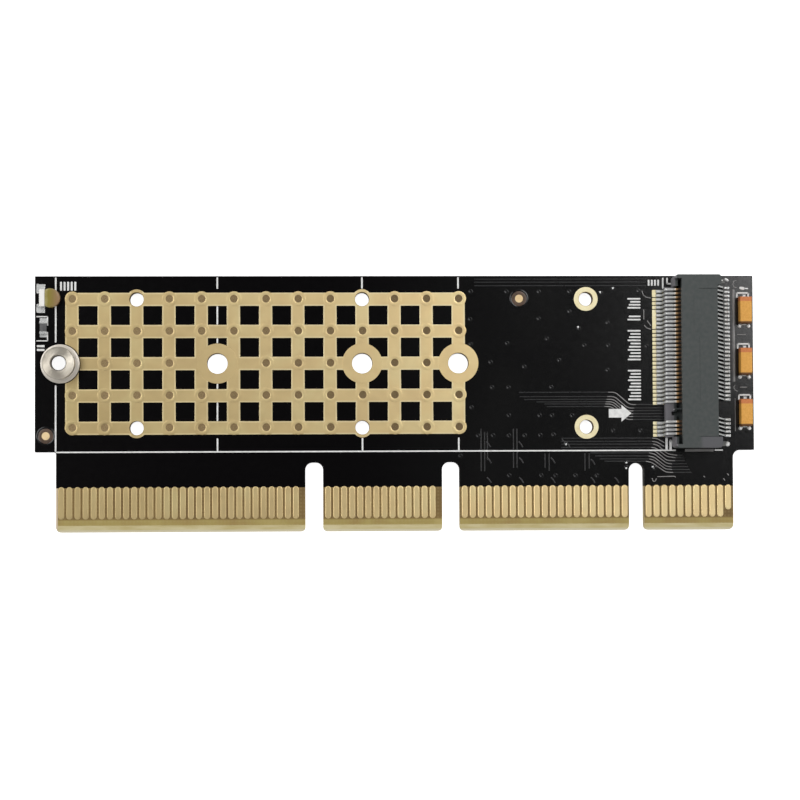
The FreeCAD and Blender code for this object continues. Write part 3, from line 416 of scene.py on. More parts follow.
# Painted shade: a dark brown band at each capacitor's near end.
painted_end_shade = 0.0
for word in CAPACITORS:
    start = corners(f"capacitor_{word}_body")[0].y
    apart = maths(tree, "ABSOLUTE", maths(tree, "SUBTRACT", place[1], start))
    near = step_down(tree, apart, 0.22, 0.34)
    painted_end_shade = maths(tree, "MAXIMUM", near, painted_end_shade)
speck = grain(tree, 5.0, 5.0)
epoxy = cloudy(tree, speck, (214, 152, 62), (232, 172, 82))
epoxy = mixed(tree, painted_end_shade, epoxy, paint(104, 66, 24))
printed = cloudy(tree, speck, (198, 112, 62), (212, 134, 76))
tree.links.new(mixed(tree, band, epoxy, printed), shader.inputs["Base Color"])
tree.links.new(between(tree, speck, 0.42, 0.58), shader.inputs["Roughness"])
relief(tree, shader, speck, 0.012, 0.7)
print("capacitors end at", [round(end, 2) for end in cap_ends], "and their bands are", CAP_BAND, "wide")


# %% [markdown]
# ## Making pieces
# `piece` turns points and faces in millimetres into an object that rides on the card.
# A piece can stand for CAD nodes, which are then hidden.

# %% Piece helpers
SMOOTH = 180


def placed(name, data):
    """A new object in the scene."""
    item = bpy.data.objects.new(name, data)
    bpy.context.scene.collection.objects.link(item)
    return item


def keep(name, mesh, stands_for=()):
    """A finished mesh as a piece of the card."""
    item = placed(name, mesh)
    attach(item, "root")
    if stands_for:
        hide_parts(*stands_for)
    print(f"{name}: {len(mesh.polygons)} faces")


@contextmanager
def edited(mesh):
    """A mesh opened for editing, and written back afterwards."""
    shape = bmesh.new()
    shape.from_mesh(mesh)
    yield shape
    shape.to_mesh(mesh)
    shape.free()


def mesh_of(name, points, faces, material=None):
    mesh = bpy.data.meshes.new(name)
    mesh.from_pydata([Vector(point) * MM for point in points], [], faces)
    if material:
        mesh.materials.append(material)
    mesh.update()
    return mesh


def merged(parts):
    """One mesh from (points, faces) pairs."""
    points, faces = [], []
    for some_points, some_faces in parts:
        first = len(points)
        points += [tuple(point) for point in some_points]
        faces += [tuple(first + corner for corner in face) for face in some_faces]
    return points, faces


def rounded(mesh, angle):
    """Smooth shading over edges up to an angle."""
    mesh.shade_smooth()
    mesh.set_sharp_from_angle(angle=math.radians(angle))


def eased(mesh, angle):
    """Smooth shading up to an angle; faces square to an axis stay flat."""
    rounded(mesh, angle)
    for face in mesh.polygons:
        if max(map(abs, face.normal)) > 0.999:
            face.use_smooth = False


def piece(name, part, material, stands_for=(), sharp=None):
    """Points and faces as a piece, flat or smooth over edges up to the angle sharp."""
    mesh = mesh_of(name, *part, material)
    if sharp:
        rounded(mesh, sharp)
    keep(name, mesh, stands_for)


def moved(part, x=0.0, y=0.0, z=0.0, turn=0.0):
    points, faces = part
    matrix = Matrix.Translation((x, y, z)) @ Matrix.Rotation(turn, 4, "Z")
    return [matrix @ Vector(point) for point in points], faces


# %% [markdown]
# Most flat features are one form: a low pad with rounded corners and a soft rim. It is
# a stack of outlines, each a little further in and higher. Fingers, lands, solder and
# printed lines all come from it.

# %% Pads from stacked outlines
def outline(width, length, corner, steps=5):
    """A rounded rectangle about the origin, anticlockwise."""
    corner = min(corner, width / 2 - 1e-4, length / 2 - 1e-4)
    points = []
    for quarter, (x, y) in enumerate(((1, 1), (-1, 1), (-1, -1), (1, -1))):
        for step in range(steps + 1):
            turn = math.pi / 2 * (quarter + step / steps)
            points.append((x * (width / 2 - corner) + corner * math.cos(turn),
                           y * (length / 2 - corner) + corner * math.sin(turn)))
    return points


def stack(rings):
    """A solid through rings of equally many points, low to high, with flat caps."""
    count = len(rings[0])
    points = [point for ring in rings for point in ring]
    faces = []
    for level in range(len(rings) - 1):
        for step in range(count):
            after = (step + 1) % count
            low, high = level * count, (level + 1) * count
            faces.append((low + step, low + after, high + after, high + step))
    faces.append(tuple(range((len(rings) - 1) * count, len(rings) * count)))
    faces.append(tuple(reversed(range(count))))
    return points, faces


def pad(width, length, height, corner, rim, rise=None, steps=5):
    """A pad whose edge is rounded over rim across and rise down."""
    rise = height * 0.6 if rise is None else rise
    rings = []
    for inset, drop in ((0.0, height), (0.0, rise), (rim * 0.3, rise * 0.3), (rim, 0.0)):
        shape = outline(width - 2 * inset, length - 2 * inset, max(corner - inset, 0.01), steps)
        rings.append([(x, y, height - drop) for x, y in shape])
    return stack(rings)


def turned(profile, steps=48):
    """A shape of revolution from (radius, height) pairs, open at both ends."""
    points, faces = [], []
    for step in range(steps):
        turn = 2 * math.pi * step / steps
        points += [(radius * math.cos(turn), radius * math.sin(turn), z) for radius, z in profile]
    count = len(profile)
    for step in range(steps):
        after = (step + 1) % steps
        for mark in range(count - 1):
            faces.append((step * count + mark, after * count + mark,
                          after * count + mark + 1, step * count + mark + 1))
    return points, faces


BEND_STEPS = 4


def bent_strip(path, thick, width, radius):
    """Sheet metal bent along (x, z) points, with rounded bends, across Y about the origin."""
    line = [Vector(path[0])]
    for before, bend, after in zip(path, path[1:], path[2:]):
        before, bend, after = Vector(before), Vector(bend), Vector(after)
        inward, outward = (before - bend).normalized(), (after - bend).normalized()
        reach = min(radius, (before - bend).length * 0.45, (after - bend).length * 0.45)
        start, end = bend + inward * reach, bend + outward * reach
        for step in range(BEND_STEPS + 1):
            share = step / BEND_STEPS
            first, second = start.lerp(bend, share), bend.lerp(end, share)
            line.append(first.lerp(second, share))
    line.append(Vector(path[-1]))
    rings = []
    soft = min(thick, width) * 0.18
    for mark, here in enumerate(line):
        ahead = line[min(mark + 1, len(line) - 1)] - line[max(mark - 1, 0)]
        normal = Vector((-ahead.y, ahead.x)).normalized()
        ring = []
        for side, up in ((-1, -1), (1, -1), (1, 1), (-1, 1)):
            for cut_y, cut_n in ((soft, 0.0), (0.0, soft)) if side * up > 0 else ((0.0, soft), (soft, 0.0)):
                across = side * (width / 2 - cut_y)
                off = normal * up * (thick / 2 - cut_n)
                ring.append((here.x + off.x, across, here.y + off.y))
        rings.append(ring)
    return stack([list(reversed(ring)) for ring in rings])


print("a finger pad has", len(pad(0.74, 4.1, 0.05, 0.3, 0.1)[1]), "faces")


# %% [markdown]
# ## Softened copies of CAD nodes
# A CAD edge is razor sharp, and no real moulding or plated sheet is. For nodes whose
# form is right, a copy is merged, its flat faces are joined again and a small Bevel
# modifier is applied, so that the edges catch light.

# %% Soften
def plain_copy(node):
    """A node's mesh with its points merged and its flat faces joined."""
    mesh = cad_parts[node].data.copy()
    with edited(mesh) as shape:
        bmesh.ops.remove_doubles(shape, verts=shape.verts, dist=2e-6)
        bmesh.ops.dissolve_limit(shape, angle_limit=math.radians(2), verts=shape.verts, edges=shape.edges)
    return mesh


def softened(mesh, name, material, width, segments=2, cutters=(), joined=()):
    """Join and cut a mesh, soften its edges, and return the plain result."""
    mesh.materials.clear()
    mesh.materials.append(material)
    item = placed(name, mesh)
    others = []
    for operation, meshes in (("UNION", joined), ("DIFFERENCE", cutters)):
        for other in meshes:
            tool = placed("tool", other)
            others.append(tool)
            step = item.modifiers.new(operation, "BOOLEAN")
            step.operation, step.object, step.solver = operation, tool, "EXACT"
    bevel = item.modifiers.new("soft_edges", "BEVEL")
    bevel.width = width * MM
    bevel.segments = segments
    bevel.limit_method = "ANGLE"
    bevel.angle_limit = math.radians(35)
    result = bpy.data.meshes.new_from_object(item.evaluated_get(bpy.context.evaluated_depsgraph_get()))
    for other in (item, *others):
        bpy.data.objects.remove(other)
    eased(result, 20)
    result.name = name
    return result


def soften(node, name, material, slot, width, segments=2, **tools):
    result = softened(plain_copy(node), name, material, width, segments, **tools)
    keep(name, result, [node])


def prism(plan, low, high, upright=True):
    """A solid from a plan in X and Y between two heights, or from an X and Z profile along Y."""
    if upright:
        rings = [[(x, y, level) for x, y in plan] for level in (low, high)]
    else:
        rings = [[(x, level, z) for x, z in reversed(plan)] for level in (low, high)]
    mesh = mesh_of("prism", *stack(rings))
    with edited(mesh) as shape:
        bmesh.ops.recalc_face_normals(shape, faces=shape.faces)
    return mesh


def box(x0, x1, y0, y1, z0, z1):
    return prism([(x0, y0), (x1, y0), (x1, y1), (x0, y1)], z0, z1)


# %% [markdown]
# The board's own copy also gets the small rounds that a router leaves where a notch
# meets the card's edge. Each is cut by a prism with one hollow corner.

# %% Board
NOTCHES = ((6.76, 2.2), (-10.24, 2.2), (29.97, 1.9))
ROUND = 0.5
corner_tools = []
for middle, wide in NOTCHES:
    for side in (-1, 1):
        x, y = middle + side * wide / 2, BOARD_LOW.y
        plan = [(x - side * 0.2, y - 0.2), (x + side * ROUND, y - 0.2), (x + side * ROUND, y)]
        for step in range(1, 6):
            turn = math.pi / 2 * step / 5
            plan.append((x + side * ROUND * (1 - math.sin(turn)), y + ROUND * (1 - math.cos(turn))))
        plan.append((x - side * 0.2, y + ROUND))
        corner_tools.append(prism(plan, -0.5, FRONT + 0.5))
soften("circuit_board", "board_blank", board_finish, "board", 0.05, 2, cutters=corner_tools)

# %% [markdown]
# Most other nodes only need the soft edges. The capacitors' lands are left out of
# their copy, because the solder joints further down take their place.

# %% Soft copies
soften("thermal_lattice", "lattice_sheet", lattice_finish, "gold", 0.02)
soften("heatsink_rings", "heatsink_ring_pair", pale_finish, "gold", 0.02)
for word in SCREWS:
    soften(f"screw_place_{word}", f"screw_ring_{word}", gold_finish, "gold", 0.02)
soften("alignment_marks", "mark_dots", dot_finish, "gold", 0.02)
soften("socket_hold_downs", "socket_clips", dull_finish, "contacts", 0.04)
for word in CAPACITORS:
    soften(f"capacitor_{word}_body", f"capacitor_{word}_block", cap_finish, "tantalum", 0.08, 3)
soften("led_base", "indicator_base", white_finish, "white_plastic", 0.05)
soften("led_lens", "indicator_lens", lens_finish, "lens", 0.06)
soften("led_terminals", "indicator_ends", solder_finish, "solder", 0.03)
soften("resistor_body", "chip_body", ceramic_finish, "ceramic", 0.03)
soften("resistor_end_caps", "chip_ends", solder_finish, "solder", 0.015)
lands = plain_copy("component_lands")
with edited(lands) as shape:
    bmesh.ops.delete(shape, geom=[point for point in shape.verts if point.co.x > 0], context="VERTS")
mesh = softened(lands, "component_pads", solder_finish, 0.02)
keep("component_pads", mesh, ["component_lands"])

# %% [markdown]
# ## Rows that repeat
# The fingers, the socket's contacts and their solder are one small piece each, set
# down again and again. A Geometry Nodes tree does it: a Mesh Line gives the places,
# Instance on Points sets the piece there, and a random `tone` per copy lets the
# material vary a little. The seed is fixed, so each run gives the same card.

# %% A tree that repeats a piece
SOCKETS = {"object": "NodeSocketObject", "vector": "NodeSocketVector", "count": "NodeSocketInt",
           "size": "NodeSocketFloat", "material": "NodeSocketMaterial"}


def new_tree(name, **inputs):
    tree = bpy.data.node_groups.new(name, "GeometryNodeTree")
    tree.interface.new_socket("Geometry", in_out="INPUT", socket_type="NodeSocketGeometry")
    for word, kind in inputs.items():
        tree.interface.new_socket(word, in_out="INPUT", socket_type=SOCKETS[kind])
    tree.interface.new_socket("Geometry", in_out="OUTPUT", socket_type="NodeSocketGeometry")
    return tree, put(tree, "NodeGroupInput").outputs


def close_tree(tree, points, asked):
    """Set the piece on the points, with a random tone each, and finish with plain mesh."""
    source = put(tree, "GeometryNodeObjectInfo", {"Object": asked["Piece"]})
    copies = put(tree, "GeometryNodeInstanceOnPoints",
                 {"Points": points, "Instance": source.outputs["Geometry"]})
    chance = put(tree, "FunctionNodeRandomValue", {"Seed": asked["Seed"]}, data_type="FLOAT")
    toned = put(tree, "GeometryNodeStoreNamedAttribute",
                {"Geometry": copies.outputs[0], "Name": "tone", "Value": chance.outputs[1]},
                data_type="FLOAT", domain="INSTANCE")
    real = put(tree, "GeometryNodeRealizeInstances", {"Geometry": toned.outputs[0]})
    done = put(tree, "GeometryNodeSetMaterial", {"Geometry": real.outputs[0], "Material": asked["Finish"]})
    put(tree, "NodeGroupOutput", {0: done.outputs[0]})


def grow(tree, values, carrier=None):
    """Run a tree with its inputs set by identifier, and return the plain mesh."""
    item = placed("carrier", carrier or bpy.data.meshes.new("carrier"))
    modifier = item.modifiers.new("grow", "NODES")
    modifier.node_group = tree
    names = {entry.name: entry.identifier for entry in tree.interface.items_tree if entry.in_out == "INPUT"}
    for word, value in values.items():
        modifier[names[word]] = value
    mesh = bpy.data.meshes.new_from_object(item.evaluated_get(bpy.context.evaluated_depsgraph_get()))
    bpy.data.objects.remove(item)
    return mesh


row_tree, asked = new_tree("row_of_pieces", Piece="object", Start="vector", Step="vector", Count="count",
                           Seed="count", Finish="material")
places = put(row_tree, "GeometryNodeMeshLine",
             {"Count": asked["Count"], "Start Location": asked["Start"], "Offset": asked["Step"]},
             mode="OFFSET")
close_tree(row_tree, places.outputs[0], asked)


def pattern(part):
    """The object that a row repeats; it is removed when its row is made."""
    return placed("pattern", mesh_of("pattern", *part))


def rows(name, part, material, runs, stands_for=(), seed=1):
    """Rows of a part as one piece; each run is a first place, a step and a count, in millimetres."""
    one = pattern(part)
    shape = bmesh.new()
    for number, (start, step, count) in enumerate(runs):
        values = {"Piece": one, "Start": Vector(start) * MM, "Step": Vector(step) * MM, "Count": count,
                  "Seed": seed + number, "Finish": material}
        shape.from_mesh(grow(row_tree, values))
    mesh = bpy.data.meshes.new(name)
    shape.to_mesh(mesh)
    shape.free()
    bpy.data.objects.remove(one)
    mesh.materials.clear()
    mesh.materials.append(material)
    eased(mesh, 50)
    print(sum(run[2] for run in runs), "copies:", end=" ")
    keep(name, mesh, stands_for)


# %% [markdown]
# ### Card-edge fingers
# Seventy-six fingers on each face, one millimetre apart, in groups between the
# notches. Each is plated copper with round ends. The last one, right of the key, is
# shorter on the front: it senses that the card is fully home.

# %% Fingers
FINGER_PITCH = 1.0
FINGER_WIDTH = 0.74
FINGER_GROUPS = ("key", "inner", "middle", "outer")
FINGER_INSET, FINGER_OVER = 0.2, 0.08
SENSE_SHORTER = 0.9


def finger_of(length, thick):
    return pad(FINGER_WIDTH + 0.02, length, thick, 0.37, 0.1, thick * 0.9, 7)


for face, level in (("front", FRONT), ("back", 0.0)):
    runs, short = [], None
    for group in FINGER_GROUPS:
        low, high = corners(f"{face}_fingers_{group}")
        count = round((high.x - low.x - FINGER_WIDTH) / FINGER_PITCH) + 1
        if face == "front" and group == "key":
            short = (low.x + FINGER_WIDTH / 2 + (count - 1) * FINGER_PITCH, high.y + FINGER_OVER)
            count -= 1
        start, end = low.y + FINGER_INSET, high.y + FINGER_OVER
        runs.append(((low.x + FINGER_WIDTH / 2, (start + end) / 2, level), (FINGER_PITCH, 0, 0), count))
    length = end - start
    thick = high.z - low.z
    finger = finger_of(length, thick)
    if face == "back":
        points, faces = finger
        finger = [(x, y, thick - z) for x, y, z in points], [tuple(reversed(loop)) for loop in faces]
    rows(f"{face}_edge_fingers", finger, gold_finish, runs,
         [f"{face}_fingers_{group}" for group in FINGER_GROUPS], seed=11)
    if short:
        long = length - SENSE_SHORTER
        rows("sense_finger", finger_of(long, thick), gold_finish,
             [((short[0], short[1] - long / 2, level), (0, 0, 0), 1)], seed=3)

# %% [markdown]
# ### Socket contacts
# Two rows of stamped contacts, half a millimetre apart, with a gap at the drive's key.
# A front contact lies on its land, climbs the comb, lies along it and slopes up into
# the slot. A back contact leaves the rear wall and steps down to its land.

# %% Contacts
CONTACT_PITCH = 0.5
CONTACT_WIDTH = 0.24
STRIP = 0.15


def contact_runs(face, x):
    runs = []
    for word in ("long", "short"):
        low, high = corners(f"socket_{face}_contacts_{word}")
        count = round((high.y - low.y - CONTACT_WIDTH) / CONTACT_PITCH) + 1
        runs.append(((x, high.y - CONTACT_WIDTH / 2, FRONT), (0, -CONTACT_PITCH, 0), count))
    return runs


def jogged(part, start, end, shift):
    """Shift a strip sideways between two places along it."""
    points, faces = part
    moved_points = []
    for x, y, z in points:
        share = min(1.0, max(0.0, (x - start) / (end - start)))
        moved_points.append((x, y + shift * (2 * share - 1), z))
    return moved_points, faces


FOOT = corners("socket_front_contacts_long")[0].x
NOSE = corners("socket_front_contacts_long")[1].x
COMB = HOUSING_LOW.x
COMB_TOP = 1.15
half = STRIP / 2
edge = COMB - FOOT
front_path = [(0.25, 0.05 + half), (edge - 0.33, 0.05 + half), (edge - half - 0.02, 0.4),
              (edge - half - 0.02, COMB_TOP - 0.1), (edge + 0.12, COMB_TOP + half + 0.1),
              (edge + 1.3, COMB_TOP + 0.28 + half), (edge + 2.2, 2.1 + half), (NOSE - FOOT, 2.5 + half)]
strip = jogged(bent_strip(front_path, STRIP, 0.295, 0.12), edge - 0.3, edge + 0.1, 0.08)
rows("socket_front_strips", strip, plated_finish, contact_runs("front", FOOT),
     ["socket_front_contacts_long", "socket_front_contacts_short"], seed=21)
back_path = [(0, 1.1 + half), (0.4, 1.06 + half), (1.32, 0.82), (1.47, 0.07 + half), (2.0, 0.05 + half)]
strip = jogged(moved(bent_strip(back_path, STRIP, 0.19, 0.12), y=0.19), 0.6, 1.35, -0.11)
rows("socket_back_strips", strip, leg_finish, contact_runs("back", LEG),
     ["socket_back_contacts_long", "socket_back_contacts_short"], seed=31)

# %% [markdown]
# Each contact's foot stands on a land in a pool of solder. The solder is a domed pad
# round the foot. At the front it stops short, so that pale gold shows at the end of
# each land, and two groups of lands are joined into a plane of copper there. At the
# back the whole land is tinned.

# %% Lands and solder
LAND = corners("socket_front_lands")[0].x
PASTE = (LAND + 0.46, COMB - 0.1)
BACK_PASTE = (LEG + 1.42, LEG + 2.0)
FRONT_SHIFT, BACK_SHIFT = -0.08, 0.1
for face, spot, sideways in (("front", PASTE, FRONT_SHIFT), ("back", BACK_PASTE, BACK_SHIFT)):
    low, high = corners(f"socket_{face}_lands")
    wide = 0.4 if face == "front" else 0.32
    start = low.x if face == "front" else spot[0] - 0.05
    land = pad(high.x - start, wide, high.z - low.z, 0.05, 0.03)
    material = pale_finish if face == "front" else solder_finish
    places = [(place[1] + sideways, step, count) for place, step, count in contact_runs(face, 0)]
    middle = (start + high.x) / 2
    rows(f"socket_{face}_pads", land, material,
         [((middle, y, FRONT), step, count) for y, step, count in places],
         [f"socket_{face}_lands"], seed=41)
    tall = 0.2 if face == "front" else 0.34
    points, faces = pad(spot[1] - spot[0], wide, tall, 0.15, 0.11, tall - 0.05)
    if face == "back":
        points = [(x, y, z - 0.1 * x - 0.1 * y if z > tall / 2 else z) for x, y, z in points]
    wet = contact_finish if face == "front" else highlit_solder_finish
    rows(f"socket_{face}_solder", (points, faces), wet,
         [((sum(spot) / 2, y, FRONT + 0.03), step, count) for y, step, count in places], seed=51)
first = contact_runs("front", 0)[0][0][1] + FRONT_SHIFT
parts = [moved(pad(0.52, (last - start) * CONTACT_PITCH + 0.4, 0.052, 0.05, 0.03), LAND + 0.26,
               first - (start + last) / 2 * CONTACT_PITCH, FRONT) for start, last in ((0, 1), (5, 9))]
piece("joined_lands", merged(parts), pale_finish)

# %% [markdown]
# ### The socket's housing
# The housing is moulded in one piece: a comb that carries the front contacts, a floor,
# a back wall and a roof over the slot, closed by walls and ears at its ends. Prisms
# are joined and cut with Booleans, then all edges are softened together.

# %% Housing
HOUSE_LOW, HOUSE_TOP = HOUSING_LOW.z, HOUSING_HIGH.z
WALL = LEG
EAR = HOUSING_HIGH.x
ROOF = COMB + 1.7
CHEEK = COMB + 0.95
END_LOW, END_HIGH = HOUSING_LOW.y, HOUSING_HIGH.y
FIRST_LONG, FIRST_SHORT = [start[1] for start, step, count in contact_runs("front", 0)]
COMB_LOW, COMB_HIGH = FIRST_SHORT - 1.85, FIRST_LONG + 0.38
profile = [(CHEEK + 0.4, HOUSE_LOW), (WALL, HOUSE_LOW), (WALL, HOUSE_TOP), (ROOF, HOUSE_TOP),
           (ROOF, HOUSE_TOP - 0.75), (WALL - 1.0, HOUSE_TOP - 0.75), (WALL - 1.0, HOUSE_LOW + 0.3),
           (CHEEK + 0.4, HOUSE_LOW + 0.3)]
shell = prism(profile, END_LOW + 0.2, END_HIGH - 0.2, upright=False)
EAR_HIGH, EAR_LOW = END_HIGH - 1.77, END_LOW + 1.36


def end_wall(end, ear, sign):
    inner, cut = end - sign * 0.45, end - sign * 0.25
    plan = [(CHEEK, inner), (CHEEK, cut), (CHEEK + 0.25, end), (EAR - 0.25, end), (EAR, cut), (EAR, ear),
            (WALL - 0.2, ear), (WALL - 0.2, inner)]
    return prism(plan, HOUSE_LOW, HOUSE_TOP)


joined = [box(COMB, CHEEK + 0.45, COMB_LOW, COMB_HIGH, HOUSE_LOW, FRONT + COMB_TOP),
          end_wall(END_HIGH, EAR_HIGH + 0.5, 1), end_wall(END_LOW, EAR_LOW, -1)]
for y0, y1 in ((COMB_HIGH, END_HIGH - 0.3), (END_LOW + 0.3, COMB_LOW)):
    joined.append(box(CHEEK, CHEEK + 0.42, y0, y1, HOUSE_LOW, FRONT + 3.1))
key = FIRST_SHORT + 1.6
comb_level = FRONT + COMB_TOP
joined.append(box(CHEEK + 0.1, ROOF + 0.3, key - 0.02, key + 0.16, comb_level - 0.3, comb_level + 0.35))
GROOVE = 0.1
ROOF_SEAMS = ((36.68, 36.72, 8.62, 12.99), (36.68, 38.3, 8.6, 8.64), (37.37, 37.41, -0.1, 8.19))
cutters = [box(CHEEK - 0.2, ROOF + 0.2, key - 0.75, key - 0.25, FRONT + 0.5, FRONT + COMB_TOP + 0.2)]
for y in (EAR_HIGH, EAR_LOW):
    cutters.append(box(EAR - 2.75, EAR + 0.1, y - GROOVE / 2, y + GROOVE / 2, HOUSE_TOP - GROOVE,
                       HOUSE_TOP + 0.1))
for seam in ROOF_SEAMS:
    cutters.append(box(*seam, HOUSE_TOP - 0.02, HOUSE_TOP + 0.1))
mesh = softened(shell, "socket_shell", housing_finish, 0.06, 2, cutters=cutters, joined=joined)
keep("socket_shell", mesh, ["socket_housing"])
pin = turned([(0.09, 0.0), (0.09, 0.1), (0.05, 0.14), (0.005, 0.15)], 16)
pin = moved(pin, CHEEK + 0.15, key, FRONT + COMB_TOP)
piece("housing_pin", pin, solder_finish, sharp=SMOOTH)

# %% [markdown]
# The metal clips at the housing's ends are soldered down, and so are the capacitors.
# Their joints are domed pads: two at the far clip and one at the near one. A capacitor
# has one at its far end, and at its near end a flat pad with a bead on each side.

# %% Clip and capacitor joints
posts = []
parts = [moved(pad(0.6, 0.36, 0.3, 0.17, 0.14, 0.2), 41.5, 15.36, FRONT, -0.5),
         moved(pad(0.34, 0.22, 0.3, 0.1, 0.08, 0.2), 40.88, 15.29, FRONT),
         moved(pad(0.62, 0.62, 0.34, 0.3, 0.26, 0.28), 41.45, -5.2, FRONT)]
for word in CAPACITORS:
    low, high = corners(f"capacitor_{word}_terminals")
    body_low, body_high = corners(f"capacitor_{word}_body")
    middle = (low.x + high.x) / 2
    foot = body_low.y - low.y
    posts.append(moved(pad(0.5, 0.4, 0.3, 0.1, 0.1, 0.2), middle + 0.02, body_high.y + 0.15, FRONT))
    for side in (-0.54, 0.54):
        bead = pad(0.46, 0.56, 0.4, 0.2, 0.16, 0.3)
        parts.append(moved(bead, middle + side, body_low.y - 0.2, FRONT, side))
    parts.append(moved(pad(0.7, foot + 0.1, 0.1, 0.1, 0.05), middle, body_low.y - foot / 2 + 0.05, FRONT))
piece("solder_joints", merged(parts), highlit_solder_finish,
      [f"capacitor_{word}_terminals" for word in CAPACITORS], sharp=60)
mesh = mesh_of("capacitor_posts", *merged(posts), contact_finish)
eased(mesh, 40)
keep("capacitor_posts", mesh)

# %% [markdown]
# ## The standoff
# A turned nut pressed into the board, with a flange below and a fine thread inside. A
# lathe is the right tool: a profile, turned about its axis. The thread is a ridge
# that winds up the bore and fades out at both ends.

# %% Standoff
THREAD_STEPS = 36


def thread(bore, low, high, pitch, depth):
    """A V-shaped ridge on the wall of a bore, wound from low to high."""
    turns = (high - low - pitch) / pitch
    points, faces = [], []
    total = int(turns * THREAD_STEPS)
    for step in range(total + 1):
        turn = 2 * math.pi * step / THREAD_STEPS
        z = low + pitch * step / THREAD_STEPS
        fade = min(1.0, step / 8, (total - step) / 8)
        for radius, rise in ((bore, 0.0), (bore - depth * fade, pitch * 0.5), (bore, pitch * 0.98)):
            points.append((radius * math.cos(turn), radius * math.sin(turn), z + rise))
    for step in range(total):
        for mark in range(2):
            low_mark = step * 3 + mark
            faces.append((low_mark, low_mark + 1, low_mark + 4, low_mark + 3))
    return points, faces


top, foot = STANDOFF_HIGH.z, STANDOFF_LOW.z
flange = (STANDOFF_HIGH.x - STANDOFF_LOW.x) / 2 - 0.1
SHANK, NECK_WIDE, HEAD, BORE, MOUTH, RELIEF = 1.7, 1.92, 2.02, 0.92, 0.96, 1.3
profile = [(RELIEF, foot), (SHANK, foot), (SHANK, FRONT), (flange, FRONT), (flange, FRONT + 0.27),
           (flange - 0.03, FRONT + 0.33), (flange - 0.08, FRONT + 0.35), (NECK_WIDE + 0.04, FRONT + 0.36),
           (NECK_WIDE, FRONT + 0.4), (NECK_WIDE, top - 0.55), (HEAD, top - 0.45), (HEAD, top - 0.07),
           (HEAD - 0.02, top - 0.03), (HEAD - 0.06, top)]
GROOVES = 10
step = (HEAD - 0.1 - MOUTH - 0.04) / GROOVES
for mark in range(GROOVES):
    radius = HEAD - 0.1 - mark * step
    profile += [(radius, top - 0.002), (radius - step / 2, top - 0.014)]
profile += [(MOUTH + 0.03, top - 0.01), (MOUTH, top - 0.05), (BORE, top - 0.12), (BORE, top - 1.35),
            (RELIEF, top - 1.6), (RELIEF, foot)]
standoff = merged([turned(profile, 72), thread(BORE, top - 1.35, top - 0.15, 0.3, 0.05)])
piece("turned_standoff", moved(standoff, STANDOFF_X, LINE), turned_finish, ["drive_standoff"],
      sharp=28)

# %% [markdown]
# ## Vias in the lattice
# A plated hole joins the lattice to the copper inside the board at each crossing of
# the bars. It is filled with resin, so it shows as a shallow brown pit in a raised
# ring, a little paler to the left. A Grid gives the crossings, and Geometry Proximity
# drops those that a screw ring, a heatsink hole or the standoff takes up.

# %% A tree for the grid
grid_tree, asked = new_tree("grid_of_pieces", Piece="object", Holes="object", Middle="vector", Wide="size",
                            High="size", Columns="count", Rows="count", Clear="size", Seed="count",
                            Finish="material")
grid = put(grid_tree, "GeometryNodeMeshGrid",
           {"Size X": asked["Wide"], "Size Y": asked["High"], "Vertices X": asked["Columns"],
            "Vertices Y": asked["Rows"]})
centred = put(grid_tree, "GeometryNodeTransform",
              {"Geometry": grid.outputs[0], "Translation": asked["Middle"]})
holes = put(grid_tree, "GeometryNodeObjectInfo", {"Object": asked["Holes"]})
nearest = put(grid_tree, "GeometryNodeProximity", {0: holes.outputs["Geometry"]}, target_element="POINTS")
taken = put(grid_tree, "FunctionNodeCompare", {0: nearest.outputs["Distance"], 1: asked["Clear"]},
            data_type="FLOAT", operation="LESS_THAN")
free = put(grid_tree, "GeometryNodeDeleteGeometry",
           {"Geometry": centred.outputs[0], "Selection": taken.outputs[0]}, domain="POINT")
close_tree(grid_tree, free.outputs[0], asked)

SCREW_PLACES = [(corners(f"screw_place_{word}")[0] + corners(f"screw_place_{word}")[1]) / 2
                for word in SCREWS]
SCREW_X = [place.x for place in SCREW_PLACES]
SINK_LOW, SINK_HIGH = corners("heatsink_rings")
SINK_FIRST = (SINK_LOW.x + SINK_HIGH.x) / 2
SINK_STEP = 28.0
SINK_HALF = 8.0
sink_holes = [(SINK_FIRST - step * SINK_STEP, LINE + side * SINK_HALF)
              for step in range(3) for side in (-1, 1)]
busy = [(x, LINE) for x in SCREW_X] + [(STANDOFF_X, LINE)] + sink_holes
COLUMNS, ROWS = 13, 5
VIA_SHIFT = Vector((0.06, 0.07, 0))


def grid_piece(name, part, material, level, shift, seed):
    mark = placed("holes", mesh_of("holes", [(x, y, level) for x, y in busy], []))
    one = pattern(part)
    middle = Vector(((COLUMNS - 1) * PITCH / 2 + LATTICE_LOW.x + BAR / 2, LINE, level)) + shift
    values = {"Piece": one, "Holes": mark, "Middle": middle * MM, "Wide": (COLUMNS - 1) * PITCH * MM,
              "High": (ROWS - 1) * PITCH * MM, "Columns": COLUMNS, "Rows": ROWS, "Clear": 2.6 * MM,
              "Seed": seed, "Finish": material}
    mesh = grow(grid_tree, values)
    mesh.name = name
    rounded(mesh, 50)
    for item in (mark, one):
        bpy.data.objects.remove(item)
    keep(name, mesh)


ring = turned([(0.93, -0.05), (0.93, 0.012), (0.92, 0.018), (0.9, 0.02), (0.6, 0.02), (0.57, 0.018),
               (0.49, 0.004), (0.45, 0.0)], 32)
plug = turned([(0.48, 0.012), (0.43, 0.005), (0.35, 0.003), (0.22, 0.002), (0.01, 0.001)], 24)
grid_piece("via_rings", ring, gold_finish, COPPER, VIA_SHIFT, 5)
grid_piece("via_plugs", plug, resin_finish, COPPER + 0.001, VIA_SHIFT, 6)

